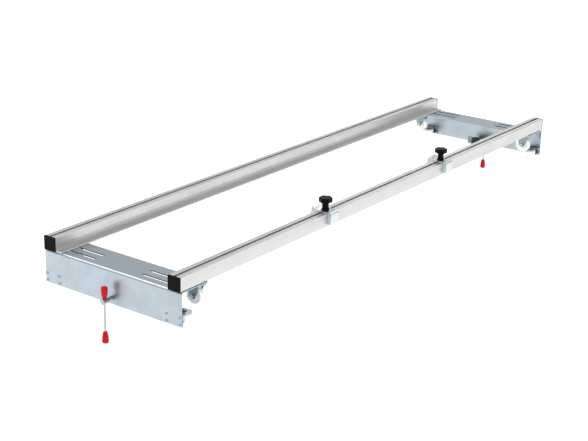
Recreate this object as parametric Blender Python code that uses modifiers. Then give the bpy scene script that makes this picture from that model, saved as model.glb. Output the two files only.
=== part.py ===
"""Sliding guide-rail frame for a bench tile cutter.

Two aluminium T-slot rails lie across two folded steel crossbars. Each crossbar hooks over one
end of the bench: castors under its top plate roll on the bench top, castors inside its skirt
roll along the bench end, and a clamp screw through the skirt locks the frame. Two stops with
star knobs slide along the front rail.

Frame: X along the rails, from the near end at -X to the far end at +X. Y from the front rail
to the back rail. Z up, with the bench top at Z = 0. Metres.
"""

import math

import bmesh
import bpy
from mathutils import Matrix, Vector

# Clearance between pieces that touch, and how far two shapes run into each other to be joined
GAP = 0.0003
JOIN = 0.0010

# Points closer than this are one point
MERGE = 0.00001

# Rails
RAIL_LENGTH = 2.000
RAIL_SIZE = 0.040
RAIL_CORNER = 0.0015
FRAME_WIDTH = 0.484
SLOT_OPENING = 0.0084
SLOT_LIP = 0.0030
SLOT_CAVITY = 0.0180
SLOT_DEPTH = 0.0090
RAIL_WEB = 0.0025
RAIL_WALL = 0.0030
FOOT_WIDTH = 0.023
FOOT_THICKNESS = 0.0030
GROOVE_DROP = 0.0225
GROOVE_WIDTH = 0.0016
GROOVE_DEPTH = 0.0010

# End caps
CAP_THICKNESS = 0.0040
CAP_EDGE = 0.0010
PLUG_LENGTH = 0.012

# Crossbars
CROSSBAR_LENGTH = 0.488
SHEET = 0.0030
PLATE_WIDTH = 0.104
SKIRT_DROP = 0.096
FOLD_RADIUS = 0.0070
ADJUST_SLOTS_X = (0.031, 0.063)
ADJUST_SLOT_INNER = 0.083
ADJUST_SLOT_OUTER = 0.230
ADJUST_SLOT_WIDTH = 0.009

# Castors
WHEEL_RADIUS = 0.025
WHEEL_HALF_WIDTH = 0.0085
HUB_HALF_WIDTH = 0.0094
HUB_RADIUS = 0.0088
WEB_SLOPE = 0.0008
WEB_HALF_WIDTH = 0.0055
RIM_RADIUS = 0.0193
TREAD_CORNER = 0.0018
AXLE_RADIUS = 0.0030
AXLE_BORE = 0.0033
AXLE_HEX_RADIUS = 0.0056
AXLE_HEAD = 0.0040
AXLE_NUT = 0.0050
AXLE_POINT = 0.0012
CASTOR_HEIGHT = 0.037
CASTOR_Y = 0.216
TOP_CASTOR_X = 0.087
SIDE_CASTOR_DROP = 0.0805
FORK_PLATE = 0.0025
FORK_PLATE_LENGTH = 0.056
FORK_PLATE_WIDTH = 0.030
FORK_LEG = 0.0020
FORK_INSIDE = 0.0100
FORK_SHOULDER = 0.019
FORK_TIP = 0.0078
FORK_TIP_ROUND = 0.9 * FORK_TIP
FORK_KNEE_DROP = 0.0080
FORK_KNEE_CORNER = 0.0040
FORK_PLATE_CORNER = 0.0030
CASTOR_BOLTS_LONG = 0.023
CASTOR_BOLTS_WIDE = 0.010
CASTOR_BOLT_HOLE = 0.00275

# Bolts that hold the rails to the crossbars
BOLT_RADIUS = 0.0039
BOLT_WASHER_RADIUS = 0.0078
BOLT_WASHER = 0.0016
BOLT_HEAD_RADIUS = 0.0072
BOLT_HEAD = 0.0053
BOLT_NUT_LENGTH = 0.020
BOLT_NUT_WIDTH = 0.0165
BOLT_NUT_HEIGHT = 0.0050
BOLT_END = 0.0010

# Rail stops
STOP_PLACES_X = (-0.345, 0.305)
STOP_WIDTH = 0.038
STOP_SHEET = 0.0030
STOP_HOOK_OUT = 0.0140
STOP_HOOK_DROP = 0.032
STOP_HUMP_RISE = 0.0115
STOP_LIP_DROP = 0.016
STOP_HOLE = 0.0045
STOP_HOOK_BEND = 0.0045
STOP_RISE_BEND = 0.012
STOP_EAR_BEND = 0.0040
STOP_RISE_START = -0.0050
STOP_EAR_START = 0.0080
STOP_EAR_END = 0.0140
STOP_LIP_OUT = 0.0200
STOP_CHEEK_CLEARANCE = 0.0005
KNOB_RADIUS = 0.020
KNOB_LOBES = 6
KNOB_LOBE_DEPTH = 0.0022
KNOB_HEAD = 0.014
KNOB_HEIGHT = 0.037
KNOB_EDGE = 0.0015
HUB_TOP_RADIUS = 0.0095
HUB_FOOT_RADIUS = 0.0115
HUB_FOOT_HEIGHT = 0.0030
HUB_FOOT_SLOPE = 0.0020
HUB_OVERLAP = 0.0020
STUD_RADIUS = 0.0039
STUD_CHAMFER = 0.0010
STUD_END_CLEARANCE = 0.0005
T_NUT_LENGTH = 0.022
T_NUT_WIDTH = 0.0170
T_NUT_HEIGHT = 0.0050
T_NUT_NECK = 0.0076
T_NUT_BORE = 0.0043
T_NUT_NECK_DROP = 0.0005

# Clamp screws
SPINDLE_DROP = 0.0805
SPINDLE_RADIUS = 0.0060
SPINDLE_HEAD_RADIUS = 0.0080
SPINDLE_HEAD_LENGTH = 0.019
SPINDLE_TIP_RADIUS = 0.0040
SPINDLE_CHAMFER = 0.0012
SPINDLE_SHOULDER_PLAY = 0.0005
SPINDLE_TIP_SHORT = 0.0020
BAR_REACH = 0.025
CLAMP_HOLE = 0.0066
CLAMP_NUT_RADIUS = 0.0125
CLAMP_NUT_LENGTH = 0.014
PAD_FACE = 0.050
PAD_RUBBER = 0.0060
PAD_RUBBER_RADIUS = 0.017
PAD_PLATE = 0.0040
PAD_PLATE_LENGTH = 0.070
PAD_PLATE_HEIGHT = 0.026
PAD_BOSS_RADIUS = 0.010
PAD_BOSS_LENGTH = 0.008
PAD_BORE = 0.0043
PAD_CORNER = 0.0030

# Sliding bars of the clamp screws
BAR_RADIUS = 0.0030
BAR_HOLE = 0.0034
GRIP_LENGTH = 0.032
GRIP_RADIUS = 0.0092
GRIP_NECK_RADIUS = 0.0058
GRIP_BORE_DEPTH = 0.020
GRIP_NECK_EDGE = (0.0008, 0.0015)
GRIP_SWELL = (0.93, 0.42)
GRIP_FULL_AT = 0.62
GRIP_END_CHAMFER = 0.0022
BAR_END_PLAY = 0.0004
BAR_SPAN = 0.159

# Worked out from the driving dimensions
PLATE_TOP = SHEET + CASTOR_HEIGHT + WHEEL_RADIUS
RAIL_BOTTOM = PLATE_TOP + GAP
RAIL_TOP = RAIL_BOTTOM + RAIL_SIZE
RAIL_Y = FRAME_WIDTH / 2 - RAIL_SIZE / 2
HALF_LENGTH = RAIL_LENGTH / 2
SPINDLE_Z = PLATE_TOP - SPINDLE_DROP
ENDS = {"near": -1, "far": 1}
SIDES = {"front": -1, "back": 1}

for old in list(bpy.data.objects):
    bpy.data.objects.remove(old)

PARTS = bpy.data.collections.new("tile_cutter_rail_frame")
CUTTERS = bpy.data.collections.new("cutters")
for holder in (PARTS, CUTTERS):
    bpy.context.scene.collection.children.link(holder)


def finish_of(name, colour, roughness, metallic):
    material = bpy.data.materials.new(name)
    material.use_nodes = True
    shader = material.node_tree.nodes["Principled BSDF"]
    shader.inputs["Base Color"].default_value = (*colour, 1.0)
    shader.inputs["Roughness"].default_value = roughness
    shader.inputs["Metallic"].default_value = metallic
    return material


ALUMINIUM = finish_of("anodised_aluminium", (0.78, 0.79, 0.80), 0.42, 1.0)
ZINC = finish_of("zinc_plated_sheet", (0.62, 0.67, 0.71), 0.38, 1.0)
STEEL = finish_of("bright_steel", (0.55, 0.57, 0.60), 0.30, 1.0)
NYLON = finish_of("white_nylon", (0.86, 0.87, 0.86), 0.45, 0.0)
BLACK_PLASTIC = finish_of("black_plastic", (0.02, 0.02, 0.022), 0.45, 0.0)
RED_PLASTIC = finish_of("red_plastic", (0.60, 0.01, 0.03), 0.35, 0.0)
RUBBER = finish_of("black_rubber", (0.03, 0.03, 0.03), 0.80, 0.0)


def add_part(name, mesh, material, collection=PARTS):
    mesh.name = name
    part = bpy.data.objects.new(name, mesh)
    collection.objects.link(part)
    if material:
        mesh.materials.clear()
        mesh.materials.append(material)
    return part


def place(part, matrix):
    """Moves the mesh inside its object, so that the object's origin stays on the joint's axis."""
    part.data.transform(matrix)
    return part


def smooth(part, degrees=40):
    part.data.shade_smooth()
    part.data.set_sharp_from_angle(angle=math.radians(degrees))
    return part


def arc_corner(before, corner, after, radius, steps):
    """Points of the arc that rounds one corner of a path."""
    corner_at = Vector(corner)
    towards_before = (Vector(before) - corner_at).normalized()
    towards_after = (Vector(after) - corner_at).normalized()
    half_angle = towards_before.angle(towards_after) / 2
    tangent = radius / math.tan(half_angle)
    centre = corner_at + (towards_before + towards_after).normalized() * (radius / math.sin(half_angle))
    start = corner_at + towards_before * tangent - centre
    turn = (corner_at + towards_after * tangent - centre).angle_signed(start)
    points = []
    for step in range(steps + 1):
        swing = Matrix.Rotation(turn * step / steps, 2)
        points.append(centre + swing @ start)
    return [(point.x, point.y) for point in points]


def rounded_path(corners, steps=4):
    """An open path through (x, y, radius) corners, each rounded by its radius."""
    path = []
    for index, (x, y, radius) in enumerate(corners):
        if radius and 0 < index < len(corners) - 1:
            before = corners[index - 1][:2]
            after = corners[index + 1][:2]
            path += arc_corner(before, (x, y), after, radius, steps)
        else:
            path.append((x, y))
    return path


def rounded_loop(corners, steps=4):
    """A closed outline through (x, y, radius) corners."""
    loop = []
    for index, (x, y, radius) in enumerate(corners):
        if radius:
            before = corners[index - 1][:2]
            after = corners[(index + 1) % len(corners)][:2]
            loop += arc_corner(before, (x, y), after, radius, steps)
        else:
            loop.append((x, y))
    return loop


def strip(path, thickness):
    """The outline of a sheet that is bent along a path."""
    left = []
    right = []
    for index, point in enumerate(path):
        before = Vector(path[max(index - 1, 0)])
        after = Vector(path[min(index + 1, len(path) - 1)])
        along = (after - before).normalized()
        across = Vector((-along.y, along.x)) * thickness / 2
        left.append(tuple(Vector(point) + across))
        right.append(tuple(Vector(point) - across))
    return left + right[::-1]


def ring(x, y, radius, points, turn=0.0):
    return [
        (
            x + radius * math.cos(turn + math.tau * step / points),
            y + radius * math.sin(turn + math.tau * step / points),
        )
        for step in range(points)
    ]


def box_loop(low_x, low_y, high_x, high_y):
    return [(low_x, low_y), (high_x, low_y), (high_x, high_y), (low_x, high_y)]


def flat_solid(name, loops, thickness, matrix=None, material=None, collection=PARTS):
    """A flat outline, with any holes in it, given its thickness about its own plane."""
    curve = bpy.data.curves.new(name, "CURVE")
    curve.dimensions = "2D"
    curve.fill_mode = "BOTH"
    curve.extrude = thickness / 2
    for loop in loops:
        spline = curve.splines.new("POLY")
        spline.points.add(len(loop) - 1)
        for point, (x, y) in zip(spline.points, loop):
            point.co = (x, y, 0.0, 1.0)
        spline.use_cyclic_u = True
    guide = bpy.data.objects.new(name + "_outline", curve)
    bpy.context.scene.collection.objects.link(guide)
    graph = bpy.context.evaluated_depsgraph_get()
    mesh = bpy.data.meshes.new_from_object(guide.evaluated_get(graph))
    bpy.data.objects.remove(guide)
    shape = bmesh.new()
    shape.from_mesh(mesh)
    bmesh.ops.remove_doubles(shape, verts=shape.verts, dist=MERGE)
    bmesh.ops.recalc_face_normals(shape, faces=shape.faces)
    shape.to_mesh(mesh)
    shape.free()
    if matrix:
        mesh.transform(matrix)
    return add_part(name, mesh, material, collection)


def turned_solid(name, profile, steps, material=None, closed=False, collection=PARTS):
    """A profile of (radius, height) points turned about Z. It runs down its outer side."""
    mesh = bpy.data.meshes.new(name)
    edges = [(index, index + 1) for index in range(len(profile) - 1)]
    if closed:
        edges.append((len(profile) - 1, 0))
    mesh.from_pydata([(radius, 0.0, height) for radius, height in profile], edges, [])
    turned = add_part(name, mesh, None, collection)
    screw = turned.modifiers.new("turn", "SCREW")
    screw.steps = steps
    screw.render_steps = steps
    screw.use_merge_vertices = True
    screw.merge_threshold = MERGE
    screw.use_smooth_shade = False
    graph = bpy.context.evaluated_depsgraph_get()
    solid = bpy.data.meshes.new_from_object(turned.evaluated_get(graph))
    bpy.data.objects.remove(turned)
    return add_part(name, solid, material, collection)


def helper(part):
    part.hide_render = True
    part.display_type = "WIRE"
    return part


def combine(part, other, operation):
    """Joins or cuts with an exact Boolean, and keeps the result as the part's own mesh."""
    helper(other)
    boolean = part.modifiers.new(operation.lower(), "BOOLEAN")
    boolean.operation = operation
    boolean.solver = "EXACT"
    boolean.object = other
    graph = bpy.context.evaluated_depsgraph_get()
    mesh = bpy.data.meshes.new_from_object(part.evaluated_get(graph))
    part.modifiers.clear()
    material = part.data.materials[0] if part.data.materials else None
    part.data = mesh
    part.data.name = part.name
    if material:
        part.data.materials.clear()
        part.data.materials.append(material)
    bpy.data.objects.remove(other)
    return part


def cut(part, loops, thickness, matrix):
    return combine(
        part,
        flat_solid(part.name + "_cutter", loops, thickness, matrix, None, CUTTERS),
        "DIFFERENCE",
    )


ALONG_X = Matrix(((0, 0, 1, 0), (1, 0, 0, 0), (0, 1, 0, 0), (0, 0, 0, 1)))
ALONG_Y = Matrix(((1, 0, 0, 0), (0, 0, -1, 0), (0, 1, 0, 0), (0, 0, 0, 1)))


def rail_outline(with_foot):
    """The rail's section in Y and Z about its own centre, with its inner side towards +Y."""
    half = RAIL_SIZE / 2
    opening = SLOT_OPENING / 2
    cavity = SLOT_CAVITY / 2
    lip = half - SLOT_LIP
    floor = lip - SLOT_DEPTH
    slot = [(opening, half), (opening, lip), (cavity, lip), (cavity, floor)]
    top_slot = [(y, z, 0) for y, z in slot] + [(-y, z, 0) for y, z in slot[::-1]]
    bottom_slot = [(-y, -z, 0) for y, z, _ in top_slot]
    groove_z = half - GROOVE_DROP
    outer_side = [(-half, half, RAIL_CORNER), (-half, -half, RAIL_CORNER)]
    if with_foot:
        inner_side = [
            (half + FOOT_WIDTH, -half, 0),
            (half + FOOT_WIDTH, -half + FOOT_THICKNESS, 0),
            (half, -half + FOOT_THICKNESS, 0),
            (half, groove_z - GROOVE_WIDTH, 0),
            (half - GROOVE_DEPTH, groove_z - GROOVE_WIDTH, 0),
            (half - GROOVE_DEPTH, groove_z, 0),
            (half, groove_z, 0),
            (half, half, RAIL_CORNER),
        ]
    else:
        inner_side = [(half, -half, RAIL_CORNER), (half, half, RAIL_CORNER)]
    return rounded_loop(inner_side + top_slot + outer_side + bottom_slot, 3)


def chamber_loop(inset=0.0):
    half_width = RAIL_SIZE / 2 - RAIL_WALL - inset
    half_height = RAIL_SIZE / 2 - SLOT_LIP - SLOT_DEPTH - RAIL_WEB - inset
    return box_loop(-half_width, -half_height, half_width, half_height)


def make_rails():
    for side, sign in SIDES.items():
        loops = [rail_outline(side == "back"), chamber_loop()]
        rail = flat_solid(side + "_rail", loops, RAIL_LENGTH, ALONG_X, ALUMINIUM)
        if side == "back":
            place(rail, Matrix.Scale(-1, 4, Vector((0, 1, 0))))
            rail.data.flip_normals()
        rail.location = (0, sign * RAIL_Y, RAIL_BOTTOM + RAIL_SIZE / 2)
        for end, way in ENDS.items():
            make_end_cap(f"{side}_rail_{end}_cap", sign, way)


def make_end_cap(name, sign, way):
    """A square cap whose plug fills the rail's closed chamber."""
    half = RAIL_SIZE / 2
    face = rounded_loop([(x, y, RAIL_CORNER) for x, y in box_loop(-half, -half, half, half)], 3)
    at_face = Matrix.Translation((way * (GAP + CAP_THICKNESS / 2), 0, 0))
    cap = flat_solid(name, [face], CAP_THICKNESS, at_face @ ALONG_X, BLACK_PLASTIC)
    bevel = cap.modifiers.new("edge", "BEVEL")
    bevel.width = CAP_EDGE
    bevel.segments = 1
    bevel.limit_method = "ANGLE"
    bevel.angle_limit = math.radians(60)
    length = PLUG_LENGTH + JOIN
    at_plug = Matrix.Translation((way * (GAP + JOIN - length / 2), 0, 0))
    plug = flat_solid(name + "_plug", [chamber_loop(GAP)], length, at_plug @ ALONG_X, None, CUTTERS)
    combine(cap, plug, "UNION")
    cap.location = (way * HALF_LENGTH, sign * RAIL_Y, RAIL_BOTTOM + half)


def stadium(x, low_y, high_y, width):
    """A slot's outline. Its ends are just short of full half circles, so that no two points meet."""
    radius = width / 2
    end_radius = 0.98 * radius
    corners = box_loop(x - radius, low_y, x + radius, high_y)
    return rounded_loop([(cx, cy, end_radius) for cx, cy in corners], 2)


def make_crossbars():
    """A plate and its skirt in one folded sheet, pierced for the castors, rails and clamp."""
    middle = SHEET / 2
    fold = [
        (PLATE_WIDTH, -middle, 0),
        (middle, -middle, FOLD_RADIUS - middle),
        (middle, -SKIRT_DROP, 0),
    ]
    section = strip(rounded_path(fold, 5), SHEET)
    plate_holes = []
    skirt_holes = [ring(0, -SPINDLE_DROP, CLAMP_HOLE, 16)]
    for sign in SIDES.values():
        ends = sorted((sign * ADJUST_SLOT_INNER, sign * ADJUST_SLOT_OUTER))
        for x in ADJUST_SLOTS_X:
            plate_holes.append(stadium(x, ends[0], ends[1], ADJUST_SLOT_WIDTH))
        for along in (-CASTOR_BOLTS_LONG, CASTOR_BOLTS_LONG):
            for wide in (-CASTOR_BOLTS_WIDE, CASTOR_BOLTS_WIDE):
                y = sign * CASTOR_Y + along
                plate_holes.append(ring(TOP_CASTOR_X + wide, y, CASTOR_BOLT_HOLE, 8))
                skirt_holes.append(ring(y, wide - SIDE_CASTOR_DROP, CASTOR_BOLT_HOLE, 8))
    for end, way in ENDS.items():
        bar = flat_solid(end + "_crossbar", [section], CROSSBAR_LENGTH, ALONG_Y, ZINC)
        cut(bar, plate_holes, 4 * SHEET, Matrix.Translation((0, 0, -middle)))
        cut(bar, skirt_holes, 4 * SHEET, Matrix.Translation((middle, 0, 0)) @ ALONG_X)
        smooth(bar, 30)
        bar.rotation_euler = (0, 0, 0 if way < 0 else math.pi)
        bar.location = (way * HALF_LENGTH, 0, PLATE_TOP)


def fork_mesh():
    """The pressed fork: a drilled plate with two tapered legs. Axle along X, plate on top."""
    top = CASTOR_HEIGHT - GAP
    half_length = FORK_PLATE_LENGTH / 2
    half_width = FORK_PLATE_WIDTH / 2
    plate_loop = box_loop(-half_width, -half_length, half_width, half_length)
    plate_loop = rounded_loop([(x, y, FORK_PLATE_CORNER) for x, y in plate_loop], 2)
    at_plate = Matrix.Translation((0, 0, top - FORK_PLATE / 2))
    fork = flat_solid("fork", [plate_loop], FORK_PLATE, at_plate)
    shoulder = top - FORK_PLATE / 2
    knee = shoulder - FORK_KNEE_DROP
    leg_loop = rounded_loop(
        [
            (-FORK_SHOULDER, shoulder, 0),
            (-FORK_SHOULDER, knee, FORK_KNEE_CORNER),
            (-FORK_TIP, -FORK_TIP, FORK_TIP_ROUND),
            (FORK_TIP, -FORK_TIP, FORK_TIP_ROUND),
            (FORK_SHOULDER, knee, FORK_KNEE_CORNER),
            (FORK_SHOULDER, shoulder, 0),
        ],
        3,
    )
    for sign in (-1, 1):
        leg_x = sign * (FORK_INSIDE + FORK_LEG / 2)
        leg = flat_solid(
            "leg", [leg_loop], FORK_LEG, Matrix.Translation((leg_x, 0, 0)) @ ALONG_X, None, CUTTERS
        )
        combine(fork, leg, "UNION")
    cut(fork, [ring(0, 0, AXLE_BORE, 10)], 4 * FORK_INSIDE, ALONG_X)
    bolt_holes = []
    for x in (-CASTOR_BOLTS_WIDE, CASTOR_BOLTS_WIDE):
        for y in (-CASTOR_BOLTS_LONG, CASTOR_BOLTS_LONG):
            bolt_holes.append(ring(x, y, CASTOR_BOLT_HOLE, 8))
    cut(fork, bolt_holes, 4 * FORK_PLATE, at_plate)
    smooth(fork)
    return take_mesh(fork)


def take_mesh(part):
    """The mesh of a pattern piece, whose object is no longer needed."""
    mesh = part.data
    bpy.data.objects.remove(part)
    return mesh


def wheel_mesh():
    """A moulded wheel with a dished web between its tread and its hub, turned about X."""
    tread = WHEEL_HALF_WIDTH
    half = [
        (AXLE_BORE, HUB_HALF_WIDTH),
        (HUB_RADIUS, HUB_HALF_WIDTH),
        (HUB_RADIUS + WEB_SLOPE, WEB_HALF_WIDTH),
        (RIM_RADIUS - WEB_SLOPE, WEB_HALF_WIDTH),
        (RIM_RADIUS, tread),
        (WHEEL_RADIUS - TREAD_CORNER, tread),
        (WHEEL_RADIUS, tread - TREAD_CORNER),
    ]
    profile = half + [(radius, -height) for radius, height in half[::-1]]
    wheel = turned_solid("wheel", profile, 16, None, True)
    place(wheel, Matrix.Rotation(math.pi / 2, 4, "Y"))
    smooth(wheel)
    return take_mesh(wheel)


def hexagon(radius, low, high, name):
    at_height = Matrix.Translation((0, 0, (low + high) / 2))
    return flat_solid(name, [ring(0, 0, radius, 6)], high - low, at_height, None, CUTTERS)


def axle_mesh():
    """The axle bolt with its head and its lock nut, along X."""
    outside = FORK_INSIDE + FORK_LEG + GAP
    in_head = -outside - JOIN
    nut_end = outside + AXLE_NUT
    profile = [
        (0, nut_end + AXLE_POINT),
        (AXLE_RADIUS, nut_end),
        (AXLE_RADIUS, in_head),
        (0, in_head),
    ]
    axle = turned_solid("axle", profile, 10)
    combine(axle, hexagon(AXLE_HEX_RADIUS, -outside - AXLE_HEAD, -outside, "head"), "UNION")
    combine(axle, hexagon(AXLE_HEX_RADIUS, outside, nut_end, "nut"), "UNION")
    place(axle, Matrix.Rotation(math.pi / 2, 4, "Y"))
    smooth(axle, 35)
    return take_mesh(axle)


def make_castors():
    """Four castors at each end: two roll on the bench top and two along the bench end."""
    pieces = (
        ("fork", fork_mesh(), ZINC),
        ("wheel", wheel_mesh(), NYLON),
        ("axle", axle_mesh(), STEEL),
    )
    for _, mesh, material in pieces:
        mesh.materials.clear()
        mesh.materials.append(material)
    for end, way in ENDS.items():
        side_x = way * (HALF_LENGTH - SHEET - CASTOR_HEIGHT)
        for side, sign in SIDES.items():
            top_x = way * (HALF_LENGTH - TOP_CASTOR_X)
            top_place = Matrix.Translation((top_x, sign * CASTOR_Y, WHEEL_RADIUS))
            side_z = PLATE_TOP - SIDE_CASTOR_DROP
            side_place = Matrix.Translation((side_x, sign * CASTOR_Y, side_z))
            side_place = side_place @ Matrix.Rotation(way * math.pi / 2, 4, "Y")
            for kind, spot in (("top", top_place), ("side", side_place)):
                centre = bpy.data.objects.new(f"{end}_{side}_{kind}_castor", None)
                PARTS.objects.link(centre)
                centre.matrix_world = spot
                for piece, mesh, _ in pieces:
                    part = bpy.data.objects.new(f"{end}_{side}_{kind}_{piece}", mesh)
                    PARTS.objects.link(part)
                    part.parent = centre


def make_rail_bolts():
    """Hexagon bolts that pass up through the adjusting slots into nuts in the rails."""
    under_plate = PLATE_TOP - SHEET - GAP
    nut_bottom = RAIL_BOTTOM + SLOT_LIP + GAP
    bolt_top = nut_bottom + BOLT_NUT_HEIGHT + BOLT_END
    washer_bottom = under_plate - BOLT_WASHER
    head_bottom = washer_bottom - BOLT_HEAD
    profile = [
        (0, bolt_top),
        (BOLT_RADIUS, bolt_top),
        (BOLT_RADIUS, under_plate),
        (BOLT_WASHER_RADIUS, under_plate),
        (BOLT_WASHER_RADIUS, washer_bottom),
        (0, washer_bottom),
    ]
    bolt = turned_solid("bolt", profile, 12, STEEL)
    combine(bolt, hexagon(BOLT_HEAD_RADIUS, head_bottom, washer_bottom + JOIN, "head"), "UNION")
    half_length = BOLT_NUT_LENGTH / 2
    half_width = BOLT_NUT_WIDTH / 2
    nut_loop = box_loop(-half_length, -half_width, half_length, half_width)
    at_nut = Matrix.Translation((0, 0, nut_bottom + BOLT_NUT_HEIGHT / 2))
    nut = flat_solid("nut", [nut_loop], BOLT_NUT_HEIGHT, at_nut, None, CUTTERS)
    combine(bolt, nut, "UNION")
    smooth(bolt, 35)
    mesh = take_mesh(bolt)
    for end, way in ENDS.items():
        for side, sign in SIDES.items():
            for place_name, inset in zip(("outer", "inner"), ADJUST_SLOTS_X):
                part = bpy.data.objects.new(f"{end}_{side}_{place_name}_rail_bolt", mesh)
                PARTS.objects.link(part)
                part.location = (way * (HALF_LENGTH - inset), sign * RAIL_Y, 0)


def make_stop_bracket(name, x):
    """A bent strap over the rail: a boxed hook on the outer side and a humped lip inside."""
    half = RAIL_SIZE / 2
    middle = STOP_SHEET / 2
    seat = GAP + middle
    hook = -half - STOP_HOOK_OUT + middle
    ear = STOP_HUMP_RISE - middle
    strap = [
        (hook, -STOP_HOOK_DROP, 0),
        (hook, seat, STOP_HOOK_BEND),
        (half + STOP_RISE_START, seat, STOP_RISE_BEND),
        (half + STOP_EAR_START, ear, STOP_EAR_BEND),
        (half + STOP_EAR_END, ear, STOP_EAR_BEND),
        (half + STOP_LIP_OUT, -STOP_LIP_DROP, 0),
    ]
    bracket = flat_solid(name, [strip(rounded_path(strap, 4), STOP_SHEET)], STOP_WIDTH, ALONG_X, ZINC)
    cheek = box_loop(hook, -STOP_HOOK_DROP, -half - STOP_CHEEK_CLEARANCE, seat)
    for sign in (-1, 1):
        cheek_x = sign * (STOP_WIDTH - STOP_SHEET) / 2
        wall = flat_solid(
            "cheek", [cheek], STOP_SHEET, Matrix.Translation((cheek_x, 0, 0)) @ ALONG_X, None, CUTTERS
        )
        combine(bracket, wall, "UNION")
    cut(bracket, [ring(0, 0, STOP_HOLE, 16)], 4 * STOP_SHEET, Matrix.Translation((0, 0, seat)))
    smooth(bracket, 30)
    bracket.location = (x, -RAIL_Y, RAIL_TOP)


def make_stop_knob(name, x):
    """A star knob moulded round its stud."""
    foot = GAP + STOP_SHEET + GAP
    top = foot + KNOB_HEIGHT
    head_bottom = top - KNOB_HEAD
    stud_end = -SLOT_LIP - SLOT_DEPTH + STUD_END_CLEARANCE
    in_head = head_bottom + HUB_OVERLAP
    profile = [
        (0, in_head),
        (HUB_TOP_RADIUS, in_head),
        (HUB_TOP_RADIUS, foot + HUB_FOOT_HEIGHT + HUB_FOOT_SLOPE),
        (HUB_FOOT_RADIUS, foot + HUB_FOOT_HEIGHT),
        (HUB_FOOT_RADIUS, foot),
        (STUD_RADIUS, foot),
        (STUD_RADIUS, stud_end + STUD_CHAMFER),
        (STUD_RADIUS - STUD_CHAMFER, stud_end),
        (0, stud_end),
    ]
    knob = turned_solid(name, profile, 16, BLACK_PLASTIC)
    points = KNOB_LOBES * 6
    star = []
    for step in range(points):
        angle = math.tau * step / points
        radius = KNOB_RADIUS - KNOB_LOBE_DEPTH * (1 - math.cos(KNOB_LOBES * angle)) / 2
        star.append((radius * math.cos(angle), radius * math.sin(angle)))
    at_head = Matrix.Translation((0, 0, top - KNOB_HEAD / 2))
    head = flat_solid("head", [star], KNOB_HEAD, at_head, None, CUTTERS)
    bevel = head.modifiers.new("edge", "BEVEL")
    bevel.width = KNOB_EDGE
    bevel.segments = 1
    bevel.limit_method = "ANGLE"
    bevel.angle_limit = math.radians(60)
    combine(knob, head, "UNION")
    smooth(knob, 35)
    knob.location = (x, -RAIL_Y, RAIL_TOP)


def make_stop_nut(name, x):
    """The T-nut that the stud draws up against the lips of the rail's top slot."""
    top = -SLOT_LIP - GAP
    bottom = top - T_NUT_HEIGHT
    neck_top = -T_NUT_NECK_DROP
    section = [
        (-T_NUT_WIDTH / 2, bottom),
        (T_NUT_WIDTH / 2, bottom),
        (T_NUT_WIDTH / 2, top),
        (T_NUT_NECK / 2, top),
        (T_NUT_NECK / 2, neck_top),
        (-T_NUT_NECK / 2, neck_top),
        (-T_NUT_NECK / 2, top),
        (-T_NUT_WIDTH / 2, top),
    ]
    nut = flat_solid(name, [section], T_NUT_LENGTH, ALONG_X, STEEL)
    middle = (bottom + neck_top) / 2
    cut(nut, [ring(0, 0, T_NUT_BORE, 16)], 4 * T_NUT_HEIGHT, Matrix.Translation((0, 0, middle)))
    nut.location = (x, -RAIL_Y, RAIL_TOP)


def make_rail_stops():
    for end, x in zip(ENDS, STOP_PLACES_X):
        make_stop_bracket(end + "_stop_bracket", x)
        make_stop_knob(end + "_stop_knob", x)
        make_stop_nut(end + "_stop_nut", x)


def make_spindle(end):
    """The clamp screw: drilled head outside the skirt, thread, and a tip inside the pad."""
    head_out = BAR_REACH + SPINDLE_HEAD_LENGTH / 2
    head_in = BAR_REACH - SPINDLE_HEAD_LENGTH / 2
    tip_start = -(PAD_FACE - PAD_RUBBER - PAD_PLATE - PAD_BOSS_LENGTH - 2 * GAP - SPINDLE_SHOULDER_PLAY)
    tip_end = tip_start - PAD_BOSS_LENGTH + SPINDLE_TIP_SHORT
    profile = [
        (0, head_out),
        (SPINDLE_HEAD_RADIUS - SPINDLE_CHAMFER, head_out),
        (SPINDLE_HEAD_RADIUS, head_out - SPINDLE_CHAMFER),
        (SPINDLE_HEAD_RADIUS, head_in),
        (SPINDLE_RADIUS, head_in),
        (SPINDLE_RADIUS, tip_start),
        (SPINDLE_TIP_RADIUS, tip_start),
        (SPINDLE_TIP_RADIUS, tip_end),
        (0, tip_end),
    ]
    spindle = turned_solid(end + "_clamp_spindle", profile, 16, STEEL)
    across = 4 * SPINDLE_HEAD_RADIUS
    cut(spindle, [ring(0, 0, BAR_HOLE, 12)], across, Matrix.Translation((0, 0, BAR_REACH)) @ ALONG_X)
    return smooth(spindle, 35)


def make_clamp_nut(end):
    """A hexagon nut welded inside the skirt. Z points outwards, away from the bench."""
    outer = -SHEET - GAP
    middle = outer - CLAMP_NUT_LENGTH / 2
    loops = [ring(0, 0, CLAMP_NUT_RADIUS, 6), ring(0, 0, SPINDLE_RADIUS + GAP, 20)]
    return flat_solid(
        end + "_clamp_nut", loops, CLAMP_NUT_LENGTH, Matrix.Translation((0, 0, middle)), ZINC
    )


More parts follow.
